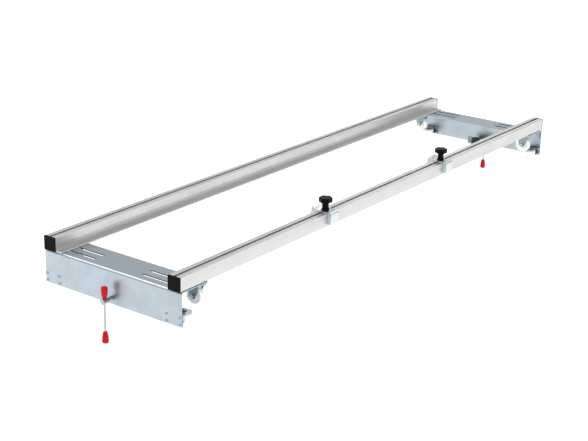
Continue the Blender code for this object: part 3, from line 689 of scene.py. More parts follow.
# The thread starts inside the far leg, and the plain shank ends one pitch short of it
thread_start = outside - AXLE_PITCH
axle_levels += [
    level(-outside, AXLE_RADIUS, ROUND_POINTS),
    level(thread_start - AXLE_PITCH, AXLE_RADIUS, ROUND_POINTS),
]
axle_end = outside + AXLE_NUT + AXLE_END
axle_levels += thread_levels(AXLE_RADIUS, AXLE_PITCH, thread_start, axle_end, ROUND_POINTS, 10)
axle_mesh = lofted(axle_levels)
axle_mesh.transform(turn_to_x)
collar_low = outside + COLLAR_HEIGHTS[0] * AXLE_NUT
lock_levels = hex_levels(AXLE_HEX, outside, collar_low)
lock_levels += [
    level(collar_low, COLLAR_REACHES[0] * AXLE_HEX, ROUND_POINTS),
    level(outside + COLLAR_HEIGHTS[1] * AXLE_NUT, COLLAR_REACHES[0] * AXLE_HEX, ROUND_POINTS),
    level(outside + AXLE_NUT, COLLAR_REACHES[1] * AXLE_HEX, ROUND_POINTS),
]
lock_levels += bore_levels(AXLE_RADIUS + HAIR, outside + AXLE_NUT, outside)
lock_nut_mesh = lofted(lock_levels, closed=True)
lock_nut_mesh.transform(turn_to_x)

# A screw's local Z runs out of the sheet's outer face, from the castor's side of the sheet
SCREW_POINTS = HOLE_POINTS
sheet_face = CASTOR_HEIGHT + GAP + SHEET
nut_face = CASTOR_HEIGHT - FORK_PLATE
screw_end = nut_face - SCREW_NUT - SCREW_END
shank_top = sheet_face - FLUSH_HEAD
shank = thread_levels(SCREW_RADIUS, SCREW_PITCH, screw_end, shank_top, SCREW_POINTS, 8)[::-1]


def socket_levels(face):
    """Levels out of the hexagon socket in a screw's head."""
    return [
        level(face - SOCKET_DEPTH, hexagon(SOCKET_RADIUS), SCREW_POINTS),
        level(face, hexagon(SOCKET_RADIUS), SCREW_POINTS),
    ]


flush_face = sheet_face - HAIR
flush_head = [level(flush_face, COUNTERSINK - GAP, SCREW_POINTS)]
flush_screw_mesh = lofted(socket_levels(flush_face) + flush_head + shank)
button_face = sheet_face + BUTTON_HEIGHT
dome = rounded(
    [
        (0, button_face, 0),
        (BUTTON_FLAT * BUTTON_RADIUS, button_face, BUTTON_SHOULDER),
        (BUTTON_RADIUS, sheet_face + BUTTON_SKIRT * BUTTON_HEIGHT, BUTTON_EDGE),
        (BUTTON_RADIUS, sheet_face + HAIR, 0),
        (SCREW_RADIUS, sheet_face + HAIR, 0),
    ],
    12,
    closed=False,
)
button_head = [level(height, radius, SCREW_POINTS) for radius, height in dome[1:]]
button_screw_mesh = lofted(socket_levels(button_face) + button_head + shank)
nut_top = nut_face - HAIR
screw_nut_levels = hex_levels(SCREW_NUT_HEX, nut_face - SCREW_NUT, nut_top)
screw_nut_levels += bore_levels(SCREW_RADIUS + HAIR, nut_top, nut_face - SCREW_NUT)
screw_nut_mesh = lofted(screw_nut_levels, closed=True)

for castor, spot in castors.items():
    axle = put(castor + "_axle_bolt", axle_mesh, fastener_steel, spot, degrees=SHARP_EDGE)
    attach(axle, "frame")
    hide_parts(castor + "_axle")
    fasteners = [(castor + "_lock_nut", lock_nut_mesh, spot)]
    screw_mesh = button_screw_mesh if castor.endswith("side") else flush_screw_mesh
    for number, (wide, long) in enumerate(bolt_pattern, 1):
        hole = spot @ shift(wide, long, 0)
        fasteners.append((f"{castor}_screw_{number}", screw_mesh, hole))
        fasteners.append((f"{castor}_nut_{number}", screw_nut_mesh, hole))
    for name, mesh, at in fasteners:
        fastener = put(name, mesh, fastener_steel, at, degrees=SHARP_EDGE)
        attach(fastener, "frame")


# ---- Rails --------------------------------------------------------------------------------
# Two lengths of 40 mm slotted profile, extruded in aluminium and naturally anodised. Both have
# a T-slot above and below; the back one also has a foot flange and a sight line on its inner side.

RAIL_CORNER = 0.0015
SLOT_OPENING = 0.0084
SLOT_LIP = 0.0030
SLOT_CAVITY = 0.0180
SLOT_DEPTH = 0.0090
SLOT_LIP_ROUND = 0.0004
SLOT_FLOOR_CORNER = 0.0020
RAIL_WALL = 0.0030
RAIL_WEB = 0.0025
FOOT_THICKNESS = 0.0030
# Rounding at the foot's lower edge, its upper edge and where it meets the rail
FOOT_ROUNDS = (0.0006, 0.0012, 0.0010)
CHAMBER_CORNER = 0.0008
GROOVE_DROP = 0.0225
GROOVE_WIDTH = 0.0016
GROOVE_DEPTH = 0.0010

anodised = new_material("natural_anodised_extrusion")
# Die lines run the whole length of an extrusion, and the anodic film softens its reflection
anodised_place = add(anodised, "TexCoord", {}).outputs["Object"]
# Die lines 0.9 mm apart, wider than the real ones so that they show, and metres long
die_scale = (0.9, 1 / 0.0009, 1 / 0.0009)
die_at = add(anodised, "Mapping", {"Vector": anodised_place, "Scale": die_scale}).outputs[0]
die_noise = add(anodised, "TexNoise", {"Vector": die_at, "Scale": 1.0, "Detail": 3.0})
die_lines = die_noise.outputs["Fac"]
# Soft patches half a hand wide, where the etch bath bit a little deeper
etch_scale = (1 / 0.09, 1 / 0.02, 1 / 0.02)
etch_at = add(anodised, "Mapping", {"Vector": anodised_place, "Scale": etch_scale}).outputs[0]
etch = add(anodised, "TexNoise", {"Vector": etch_at, "Scale": 1.0, "Detail": 3.0}).outputs["Fac"]
lined = add(anodised, "MapRange", {"Value": die_lines, "From Min": 0.3, "From Max": 0.7})
lined_colours = {0: lined.outputs[0], 6: linear("#D2D2D1"), 7: linear("#C8C8C7")}
anodised_colour = add(anodised, "Mix", lined_colours, data_type="RGBA")
etched = {"From Min": 0.3, "From Max": 0.7, "To Min": 0.37, "To Max": 0.49}
anodised_dullness = add(anodised, "MapRange", {"Value": etch, **etched})
die_relief = {"Height": die_lines, "Strength": 0.12, "Distance": 0.0002}
anodised_relief = add(anodised, "Bump", die_relief)
anodised_shader = add(
    anodised,
    "BsdfPrincipled",
    {
        "Base Color": anodised_colour.outputs[2],
        "Metallic": 1.0,
        "Roughness": anodised_dullness.outputs[0],
        "Normal": anodised_relief.outputs[0],
    },
)
add(anodised, "OutputMaterial", {"Surface": anodised_shader.outputs[0]})

rail_low, rail_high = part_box("front_rail")
rail_size = rail_high.z - rail_low.z
rail_length = rail_high.x - rail_low.x
rail_top = rail_high.z
rail_y = -(rail_low.y + rail_high.y) / 2
foot_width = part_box("back_rail")[1].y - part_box("back_rail")[0].y - rail_size
rail_half = rail_size / 2

slot_half = [
    (SLOT_OPENING / 2, rail_half, SLOT_LIP_ROUND),
    (SLOT_OPENING / 2, rail_half - SLOT_LIP, SLOT_LIP_ROUND),
    (SLOT_CAVITY / 2, rail_half - SLOT_LIP, 0),
    (SLOT_CAVITY / 2, rail_half - SLOT_LIP - SLOT_DEPTH, SLOT_FLOOR_CORNER),
]
top_slot = slot_half + [(-y, z, radius) for y, z, radius in slot_half[::-1]]
bottom_slot = [(-y, -z, radius) for y, z, radius in top_slot]
outer_side = [(-rail_half, rail_half, RAIL_CORNER), (-rail_half, -rail_half, RAIL_CORNER)]
groove_z = rail_half - GROOVE_DROP
inner_sides = {
    "front": [(rail_half, -rail_half, RAIL_CORNER), (rail_half, rail_half, RAIL_CORNER)],
    "back": [
        (rail_half + foot_width, -rail_half, FOOT_ROUNDS[0]),
        (rail_half + foot_width, -rail_half + FOOT_THICKNESS, FOOT_ROUNDS[1]),
        (rail_half, -rail_half + FOOT_THICKNESS, FOOT_ROUNDS[2]),
        (rail_half, groove_z - GROOVE_WIDTH, 0),
        (rail_half - GROOVE_DEPTH, groove_z - GROOVE_WIDTH, 0),
        (rail_half - GROOVE_DEPTH, groove_z, 0),
        (rail_half, groove_z, 0),
        (rail_half, rail_half, RAIL_CORNER),
    ],
}
chamber_y = rail_half - RAIL_WALL
chamber_z = rail_half - SLOT_LIP - SLOT_DEPTH - RAIL_WEB
chamber = rectangle(-chamber_y, -chamber_z, chamber_y, chamber_z, CHAMBER_CORNER)
for side, sign in SIDES.items():
    section = rounded(inner_sides[side] + top_slot + outer_side + bottom_slot, 5)
    loops = [[(-sign * y, z) for y, z in loop] for loop in (section, chamber)]
    rail_mesh = extruded(loops, rail_length, ALONG_X)
    spot = shift(0, sign * rail_y, rail_top - rail_half)
    rail = put(side + "_rail_extrusion", rail_mesh, anodised, spot, degrees=30)
    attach(rail, side + "_rail")
    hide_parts(side + "_rail")


# ---- Rail end caps ------------------------------------------------------------------------
# Square caps injection moulded in black polyamide. A plug behind each one grips the rail's
# closed chamber. The face is a shallow panel inside a rounded rim.

CAP_EDGE = 0.0003
CAP_PANEL = 0.0155
CAP_PANEL_CORNER = 0.0020
CAP_PANEL_DEPTH = 0.0004
CAP_PLUG = 0.012
CAP_PLUG_CORNER = 0.0010
# How far two shapes run into each other to be joined
JOIN = 0.0010


def moulded_black(name, colours, roughness, grain_size):
    """A black moulding: spark-eroded grain from the mould breaks up its low gloss, and handling
    has polished it in patches 11 mm across."""
    return moulded(
        name,
        colours,
        patches={"Scale": 1 / 0.011, "Detail": 3.0},
        grain={"Scale": 1 / grain_size, "Detail": 3.0},
        roughness={
            "From Min": 0.3,
            "From Max": 0.7,
            "To Min": roughness - 0.06,
            "To Max": roughness + 0.06,
        },
        relief={"Strength": 0.22, "Distance": 0.0002},
        shading={"IOR": 1.53, "Specular IOR Level": 0.07},
    )


# Grain of 0.5 mm, coarser than a real mould's so that it shows
black_polyamide = moulded_black("moulded_black_polyamide", ("#050506", "#0A0A0C"), 0.50, 0.0005)

cap_thickness = rail_low.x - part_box("front_rail_near_cap")[0].x - GAP
cap_mesh = extruded(
    [rectangle(-rail_half, -rail_half, rail_half, rail_half, RAIL_CORNER)],
    cap_thickness,
    shift(0, 0, GAP + cap_thickness / 2),
)
panel = extruded(
    [rectangle(-CAP_PANEL, -CAP_PANEL, CAP_PANEL, CAP_PANEL, CAP_PANEL_CORNER)],
    2 * CAP_PANEL_DEPTH,
    shift(0, 0, GAP + cap_thickness),
)
plug_y = chamber_y - GAP
plug_z = chamber_z - GAP
plug = extruded(
    [rectangle(-plug_z, -plug_y, plug_z, plug_y, CAP_PLUG_CORNER)],
    CAP_PLUG + JOIN,
    shift(0, 0, GAP + JOIN - (CAP_PLUG + JOIN) / 2),
)
cap_mesh = combined(combined(cap_mesh, panel, "DIFFERENCE"), plug, "UNION")
for side, sign in SIDES.items():
    for end, way in ENDS.items():
        spot = shift(way * half_length, sign * rail_y, rail_top - rail_half)
        spot = spot @ Matrix.Rotation(way * math.pi / 2, 4, "Y")
        cap = put(f"{side}_rail_{end}_cap_moulding", cap_mesh, black_polyamide, spot, CAP_EDGE)
        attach(cap, side + "_rail")
        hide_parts(f"{side}_rail_{end}_cap")


# ---- Rail bolts ---------------------------------------------------------------------------
# M8 hexagon bolts with plain washers come up through the adjusting slots into steel T-nuts in
# the rails' lower slots. Slackened, they let a rail slide along its slots.

RAIL_BOLT_RADIUS = 0.0039
RAIL_BOLT_PITCH = 0.00125
RAIL_BOLT_HEX = 0.0072
RAIL_BOLT_HEAD = 0.0053
RAIL_WASHER_RADIUS = 0.0078
RAIL_WASHER = 0.0016
RAIL_NUT_LENGTH = 0.020
RAIL_NUT_WIDTH = 0.0165
RAIL_NUT_HEIGHT = 0.0050
RAIL_NUT_CORNER = 0.0010
RAIL_BOLT_END = 0.0010
RAIL_WASHER_PLAY = 0.0002
RAIL_WASHER_EDGE = 0.0002
T_NUT_EDGE = 0.0004

under_plate = plate_top - SHEET - GAP
washer_bottom = under_plate - RAIL_WASHER
head_bottom = washer_bottom - RAIL_BOLT_HEAD
rail_nut_bottom = rail_low.z + SLOT_LIP + GAP
rail_bolt_top = rail_nut_bottom + RAIL_NUT_HEIGHT + RAIL_BOLT_END
rail_bolt_levels = hex_levels(RAIL_BOLT_HEX, head_bottom, washer_bottom)
rail_bolt_levels += thread_levels(
    RAIL_BOLT_RADIUS, RAIL_BOLT_PITCH, washer_bottom, rail_bolt_top, ROUND_POINTS, 8
)
rail_bolt_mesh = lofted(rail_bolt_levels)
washer_bore = RAIL_BOLT_RADIUS + RAIL_WASHER_PLAY
washer_mesh = turned(
    [
        (washer_bore, washer_bottom + HAIR),
        (RAIL_WASHER_RADIUS, washer_bottom + HAIR),
        (RAIL_WASHER_RADIUS, under_plate),
        (washer_bore, under_plate),
        (washer_bore, washer_bottom + HAIR),
    ]
)
nut_long = RAIL_NUT_LENGTH / 2
nut_wide = RAIL_NUT_WIDTH / 2
rail_nut_mesh = extruded(
    [
        rectangle(-nut_long, -nut_wide, nut_long, nut_wide, RAIL_NUT_CORNER),
        ring(0, 0, RAIL_BOLT_RADIUS + HAIR, 32),
    ],
    RAIL_NUT_HEIGHT,
    shift(0, 0, rail_nut_bottom + RAIL_NUT_HEIGHT / 2),
)
for end, way in ENDS.items():
    for side, sign in SIDES.items():
        for place_name, inset in zip(("outer", "inner"), ADJUST_SLOTS):
            bolt_name = f"{end}_{side}_{place_name}_rail_bolt"
            spot = shift(way * (half_length - inset), sign * rail_y, 0)
            bolt = put(bolt_name + "_m8", rail_bolt_mesh, fastener_steel, spot, degrees=SHARP_EDGE)
            washer = put(bolt_name + "_washer", washer_mesh, fastener_steel, spot, RAIL_WASHER_EDGE)
            t_nut = put(bolt_name + "_t_nut", rail_nut_mesh, fastener_steel, spot, T_NUT_EDGE)
            for piece in (bolt, washer, t_nut):
                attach(piece, side + "_rail")
            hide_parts(bolt_name)


# ---- Rail stops ---------------------------------------------------------------------------
# A folded bracket sits over the front rail: a boxed hook on the outer side, a raised ear and
# lip on the inner side. Zinc plated 3 mm steel, with a hole for the knob's stud.

STOP_CORNER = 0.0035
STOP_EDGE = 0.0004

# The stops are bright zinc plated without the blue passivation, so they are whiter and glossier
stop_zinc = zinc_plated("bright_zinc_plated_bracket", "#D2D9DB", "#C0C9CC", 0.26, 0, 0.0010)


def welded_copy(node):
    """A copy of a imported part's shape, welded into one clean solid about its own place."""
    shape = bmesh.new()
    shape.from_mesh(bpy.data.objects[node].data)
    bmesh.ops.remove_doubles(shape, verts=shape.verts, dist=MERGE)
    bmesh.ops.dissolve_limit(
        shape, angle_limit=math.radians(1), verts=shape.verts, edges=shape.edges
    )
    return shape


bracket_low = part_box("near_stop_bracket")[0]
bracket_x = box_middle("near_stop_bracket", 0)
bracket_shape = welded_copy("near_stop_bracket")
# The press rounds the hook's two upright corners
uprights = [
    edge
    for edge in bracket_shape.edges
    if all(v.co.y < bracket_low.y + MERGE for v in edge.verts)
    and abs(edge.verts[0].co.x - edge.verts[1].co.x) < MERGE
]
bmesh.ops.bevel(
    bracket_shape,
    geom=uprights,
    offset=STOP_CORNER,
    offset_type="OFFSET",
    segments=5,
    profile=0.5,
    affect="EDGES",
    clamp_overlap=True,
)
bracket_shape.transform(shift(-bracket_x, rail_y, -rail_top))
bracket_mesh = as_mesh(bracket_shape)

stop_spots = {}
for end in ENDS:
    stop_spots[end] = shift(box_middle(end + "_stop_bracket", 0), -rail_y, rail_top)
    bracket = put(end + "_stop_folded_bracket", bracket_mesh, stop_zinc, stop_spots[end], STOP_EDGE)
    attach(bracket, end + "_stop")
    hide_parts(end + "_stop_bracket")


# ---- Star knobs and their T-nuts ----------------------------------------------------------
# Six-lobed star knobs compression moulded in black phenolic round an M8 steel stud. The stud
# screws into a T-nut in the rail's top slot and pinches the bracket down on the rail.

KNOB_RADIUS = 0.020
KNOB_LOBES = 6
KNOB_FLUTE = 0.0034
KNOB_HEAD = 0.014
KNOB_HEIGHT = 0.037
KNOB_EDGE = 0.0018
KNOB_TOP_DISC = 0.0105
HUB_TOP_RADIUS = 0.0095
HUB_FOOT_RADIUS = 0.0115
# The hub flares out between these heights above its foot
HUB_FLARE = (0.0030, 0.0060)
HUB_FOOT_ROUND = 0.0005
HUB_ROUND = 0.0010
HUB_NECK_ROUND = 0.0015
KNOB_GROOVE = 0.0004
STUD_CLEARANCE = 0.0005
STUD_RADIUS = 0.0039
STUD_PITCH = 0.00125
T_NUT_LENGTH = 0.022
T_NUT_WIDTH = 0.0170
T_NUT_HEIGHT = 0.0050
T_NUT_NECK = 0.0076

# Phenolic is glossier than polyamide and blacker
black_phenolic = moulded_black("moulded_black_phenolic", ("#030304", "#070709"), 0.34, 0.0007)

knob_foot = GAP + SHEET + GAP
knob_top = knob_foot + KNOB_HEIGHT
knob_under = knob_top - KNOB_HEAD


def star(inset):
    """How far the star reaches at each angle: narrow flutes between broad lobes."""

    def reach(turn):
        flute = ((1 - math.cos(KNOB_LOBES * turn)) / 2) ** 2
        return KNOB_RADIUS - inset - KNOB_FLUTE * flute

    return reach


# Points round the knob, a whole number to each lobe
KNOB_POINTS = 120
hub_profile = rounded(
    [
        (0, knob_foot, 0),
        (HUB_FOOT_RADIUS, knob_foot, HUB_FOOT_ROUND),
        (HUB_FOOT_RADIUS, knob_foot + HUB_FLARE[0], HUB_ROUND),
        (HUB_TOP_RADIUS, knob_foot + HUB_FLARE[1], HUB_ROUND),
        (HUB_TOP_RADIUS, knob_under, HUB_NECK_ROUND),
        (KNOB_RADIUS, knob_under, 0),
    ],
    8,
    closed=False,
)
knob_levels = [level(height, radius, KNOB_POINTS) for radius, height in hub_profile[1:-1]]
# The lower and the upper edge are quarter rounds in six steps
eased = [math.pi / 2 * step / 6 for step in range(7)]
for start, way, turns in ((knob_under, 1, eased), (knob_top, -1, eased[::-1])):
    for turn in turns:
        inset = KNOB_EDGE * (1 - math.sin(turn))
        rise = KNOB_EDGE * (1 - math.cos(turn))
        knob_levels.append(level(start + way * rise, star(inset), KNOB_POINTS))
# A fine groove round the middle of the top
for radius, drop in (
    (KNOB_TOP_DISC + 0.0010, 0),
    (KNOB_TOP_DISC + 0.0006, KNOB_GROOVE),
    (KNOB_TOP_DISC, KNOB_GROOVE),
    (KNOB_TOP_DISC - KNOB_GROOVE, 0),
    (0.5 * KNOB_TOP_DISC, 0),
):
    knob_levels.append(level(knob_top - drop, radius, KNOB_POINTS))
knob_mesh = lofted(knob_levels)
stud_end = -SLOT_LIP - SLOT_DEPTH + STUD_CLEARANCE
stud_mesh = lofted(thread_levels(STUD_RADIUS, STUD_PITCH, stud_end, knob_foot - HAIR, 32, 8))
t_nut_top = -SLOT_LIP - GAP
t_nut_section = [
    (-T_NUT_WIDTH / 2, t_nut_top - T_NUT_HEIGHT),
    (T_NUT_WIDTH / 2, t_nut_top - T_NUT_HEIGHT),
    (T_NUT_WIDTH / 2, t_nut_top),
    (T_NUT_NECK / 2, t_nut_top),
    (T_NUT_NECK / 2, -STUD_CLEARANCE),
    (-T_NUT_NECK / 2, -STUD_CLEARANCE),
    (-T_NUT_NECK / 2, t_nut_top),
    (-T_NUT_WIDTH / 2, t_nut_top),
]
t_nut_mesh = combined(
    extruded([t_nut_section], T_NUT_LENGTH, ALONG_X),
    extruded([ring(0, 0, STUD_RADIUS + GAP, 32)], 4 * SLOT_DEPTH),
    "DIFFERENCE",
)
for end, spot in stop_spots.items():
    knob = put(end + "_stop_star_knob", knob_mesh, black_phenolic, spot, degrees=50)
    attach(knob, end + "_stop_knob")
    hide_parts(end + "_stop_knob")
    stud = put(end + "_stop_stud", stud_mesh, fastener_steel, spot, degrees=SHARP_EDGE)
    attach(stud, end + "_stop_knob")
    t_nut = put(end + "_stop_slot_nut", t_nut_mesh, fastener_steel, spot, T_NUT_EDGE)
    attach(t_nut, end + "_stop_nut")
    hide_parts(end + "_stop_nut")


# ---- Clamp screws -------------------------------------------------------------------------
# A turned steel spindle with a 12 mm trapezoidal thread runs through a nut welded inside each
# skirt. Its head outside the skirt is cross-drilled for the sliding bar.

SPINDLE_RADIUS = 0.0060
SPINDLE_PITCH = 0.0030
SPINDLE_HEAD_RADIUS = 0.0080
SPINDLE_HEAD_LENGTH = 0.019
SPINDLE_CHAMFER = 0.0012
SPINDLE_TIP_RADIUS = 0.0040
SPINDLE_TIP = 0.0060
TIP_CHAMFER = 0.0006
TIP_PLAY = 0.0005
THREAD_RUNOUT = 0.0002
HEAD_EDGE = 0.0005
SPINDLE_POINTS = 48
BAR_REACH = 0.025
BAR_HOLE = 0.0034
CLAMP_NUT_RADIUS = 0.0125
CLAMP_NUT_LENGTH = 0.014
PAD_FACE = 0.050
PAD_RUBBER = 0.0060
PAD_PLATE = 0.0040
PAD_BOSS_LENGTH = 0.008

turned_steel = new_material("turned_bright_steel")
# The lathe leaves fine rings round a turned bar, so its highlight breaks into short dashes
lathe_place = add(turned_steel, "TexCoord", {}).outputs["Object"]
# Rings 0.4 mm apart, which change only slowly round the bar
ring_scale = (90.0, 90.0, 1 / 0.0004)
lathe_at = add(turned_steel, "Mapping", {"Vector": lathe_place, "Scale": ring_scale}).outputs[0]
lathe_noise = add(turned_steel, "TexNoise", {"Vector": lathe_at, "Scale": 1.0, "Detail": 2.0})
lathe_rings = lathe_noise.outputs["Fac"]
# A film of oil in patches 9 mm across
oil_size = {"Scale": 1 / 0.009, "Detail": 3.0}
oil_film = add(turned_steel, "TexNoise", {"Vector": lathe_place, **oil_size}).outputs["Fac"]
steel_colours = {0: oil_film, 6: linear("#B9BDC0"), 7: linear("#989DA1")}
lathe_colour = add(turned_steel, "Mix", steel_colours, data_type="RGBA")
ring_dullness = {"Value": lathe_rings, "To Min": 0.20, "To Max": 0.36}
lathe_dullness = add(turned_steel, "MapRange", ring_dullness)
ring_relief = {"Height": lathe_rings, "Strength": 0.15, "Distance": 0.0001}
lathe_relief = add(turned_steel, "Bump", ring_relief)
lathe_shader = add(
    turned_steel,
    "BsdfPrincipled",
    {
        "Base Color": lathe_colour.outputs[2],
        "Metallic": 1.0,
        "Roughness": lathe_dullness.outputs[0],
        "Normal": lathe_relief.outputs[0],
    },
)
add(turned_steel, "OutputMaterial", {"Surface": lathe_shader.outputs[0]})

head_out = BAR_REACH + SPINDLE_HEAD_LENGTH / 2
head_in = BAR_REACH - SPINDLE_HEAD_LENGTH / 2
tip_start = -(PAD_FACE - PAD_RUBBER - PAD_PLATE - PAD_BOSS_LENGTH - 2 * GAP - TIP_PLAY)
tip_end = tip_start - SPINDLE_TIP
spindle_levels = [
    level(tip_end, SPINDLE_TIP_RADIUS - TIP_CHAMFER, SPINDLE_POINTS),
    level(tip_end + TIP_CHAMFER, SPINDLE_TIP_RADIUS, SPINDLE_POINTS),
    level(tip_start - THREAD_RUNOUT, SPINDLE_TIP_RADIUS, SPINDLE_POINTS),
]
spindle_levels += thread_levels(
    SPINDLE_RADIUS, SPINDLE_PITCH, tip_start, head_in, SPINDLE_POINTS, 12
)
for radius, height in (
    (SPINDLE_HEAD_RADIUS - HEAD_EDGE, head_in + THREAD_RUNOUT),
    (SPINDLE_HEAD_RADIUS, head_in + THREAD_RUNOUT + HEAD_EDGE),
    (SPINDLE_HEAD_RADIUS, head_out - SPINDLE_CHAMFER),
    (SPINDLE_HEAD_RADIUS - SPINDLE_CHAMFER, head_out),
):
    spindle_levels.append(level(height, radius, SPINDLE_POINTS))
cross_hole = extruded(
    [ring(0, 0, BAR_HOLE, 40)], 4 * SPINDLE_HEAD_RADIUS, shift(0, 0, BAR_REACH) @ ALONG_X
)
spindle_mesh = combined(lofted(spindle_levels), cross_hole, "DIFFERENCE")

clamp_nut_outer = -SHEET - GAP
clamp_nut_inner = clamp_nut_outer - CLAMP_NUT_LENGTH
clamp_nut_mesh = lofted(
    hex_levels(CLAMP_NUT_RADIUS, clamp_nut_inner, clamp_nut_outer)
    + bore_levels(SPINDLE_RADIUS + GAP, clamp_nut_outer, clamp_nut_inner),
    closed=True,
)
# Each clamp's local Z runs outwards along its screw, from the skirt's outer face
clamp_spots = {}
for end, way in ENDS.items():
    spot = shift(way * half_length, 0, plate_top - clamp_drop)
    clamp_spots[end] = spot @ Matrix.Rotation(way * math.pi / 2, 4, "Y")
    spindle = put(end + "_clamp_screw", spindle_mesh, turned_steel, clamp_spots[end], degrees=30)
    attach(spindle, end + "_spindle")
    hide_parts(end + "_clamp_spindle")
    nut_spot = clamp_spots[end]
    nut = put(end + "_clamp_hex_nut", clamp_nut_mesh, fork_zinc, nut_spot, degrees=SHARP_EDGE)
    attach(nut, "frame")
    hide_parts(end + "_clamp_nut")


# ---- Pressure pads ------------------------------------------------------------------------
# A flat steel plate turns freely on the tip of each clamp screw. Its boss is welded on, and a
# black rubber disc on its face grips the end of the bench.

PAD_PLATE_LENGTH = 0.070
PAD_PLATE_HEIGHT = 0.026
PAD_CORNER = 0.003
PAD_BOSS_RADIUS = 0.010
PAD_BORE = 0.0043
PAD_RUBBER_RADIUS = 0.017
PAD_EDGE = 0.0005
WELD = 0.0015
PAD_JOIN = 0.0010
RUBBER_GROOVES = (0.006, 0.011)
RUBBER_EDGE = 0.0012

# Rubber is matt and slightly dusty, in patches 8 mm across, with a pebbled 0.8 mm skin
rubber = moulded(
    "moulded_black_rubber",
    ("#1A1A1A", "#2B2B2A"),
    patches={"Scale": 1 / 0.008, "Detail": 4.0},
    grain={"Scale": 1 / 0.0008, "Detail": 3.0},
    roughness={"To Min": 0.68, "To Max": 0.88},
    relief={"Strength": 0.3, "Distance": 0.0003},
    shading={"IOR": 1.52},
)

pad_inner = -(PAD_FACE - PAD_RUBBER - GAP)
pad_outer = pad_inner + PAD_PLATE
pad_mesh = extruded(
    [
        rectangle(
            -PAD_PLATE_HEIGHT / 2,
            -PAD_PLATE_LENGTH / 2,
            PAD_PLATE_HEIGHT / 2,
            PAD_PLATE_LENGTH / 2,
            PAD_CORNER,
        )
    ],
    PAD_PLATE,
    shift(0, 0, (pad_inner + pad_outer) / 2),
)
boss_profile = rounded(
    [
        (PAD_BORE, pad_outer - PAD_JOIN, 0),
        (PAD_BOSS_RADIUS + WELD, pad_outer - PAD_JOIN, 0),
        (PAD_BOSS_RADIUS + WELD, pad_outer, 0),
        (PAD_BOSS_RADIUS, pad_outer + WELD, PAD_JOIN),
        (PAD_BOSS_RADIUS, pad_outer + PAD_BOSS_LENGTH, PAD_EDGE),
        (PAD_BORE, pad_outer + PAD_BOSS_LENGTH, 0),
        (PAD_BORE, pad_outer - PAD_JOIN, 0),
    ],
    4,
    closed=False,
)
pad_mesh = combined(pad_mesh, turned(boss_profile), "UNION")
disc_low = -PAD_FACE
disc_high = disc_low + PAD_RUBBER
disc_profile = [
    (0, disc_high),
    (PAD_RUBBER_RADIUS - PAD_EDGE, disc_high),
    (PAD_RUBBER_RADIUS, disc_high - PAD_EDGE),
    (PAD_RUBBER_RADIUS, disc_low + RUBBER_EDGE),
    (PAD_RUBBER_RADIUS - RUBBER_EDGE / 3, disc_low + RUBBER_EDGE / 3),
    (PAD_RUBBER_RADIUS - RUBBER_EDGE, disc_low),
]
for groove in RUBBER_GROOVES[::-1]:
    disc_profile += [
        (groove + 0.0008, disc_low),
        (groove + 0.0005, disc_low + 0.0008),
        (groove - 0.0005, disc_low + 0.0008),
        (groove - 0.0008, disc_low),
    ]
disc_mesh = turned(disc_profile + [(0, disc_low)], 64)
for end, spot in clamp_spots.items():
    pad = put(end + "_pad_steel", pad_mesh, fork_zinc, spot, PAD_EDGE)
    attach(pad, end + "_pad")
    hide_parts(end + "_pad_plate")
    disc = put(end + "_pad_disc", disc_mesh, rubber, spot, degrees=30)
    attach(disc, end + "_pad")
    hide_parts(end + "_pad_rubber")


# ---- Sliding bars and grips ---------------------------------------------------------------
# A 6 mm bright steel bar slides through each screw's head and hangs by its upper grip. The
# grips are pushed on and moulded in glossy red plastic, narrow at the bar and full at the end.

BAR_RADIUS = 0.0030
GRIP_LENGTH = 0.032
GRIP_RADIUS = 0.0092
GRIP_NECK_RADIUS = 0.0058
GRIP_BORE_DEPTH = 0.020
GRIP_END_ROUND = 0.0030
GRIP_NECK_ROUND = 0.0008
# The belly of the grip: two points (share of the radius, share of the length), much rounded
GRIP_BELLY = ((0.94, 0.42), (1.0, 0.70))
BELLY_ROUND = 0.0100
BAR_END_ROUND = 0.0006

# A glossy moulding, with faint 10 mm flow marks of a little deeper red
red_plastic = moulded(
    "moulded_red_plastic",
    ("#CB000F", "#B4000C"),
    patches={"Scale": 1 / 0.010, "Detail": 3.0, "Distortion": 1.0},
    grain={"Scale": 1 / 0.0010, "Detail": 2.0},
    roughness={"To Min": 0.26, "To Max": 0.38},
    relief={"Strength": 0.06, "Distance": 0.0002},
    shading={"IOR": 1.50, "Specular IOR Level": 0.20},
)

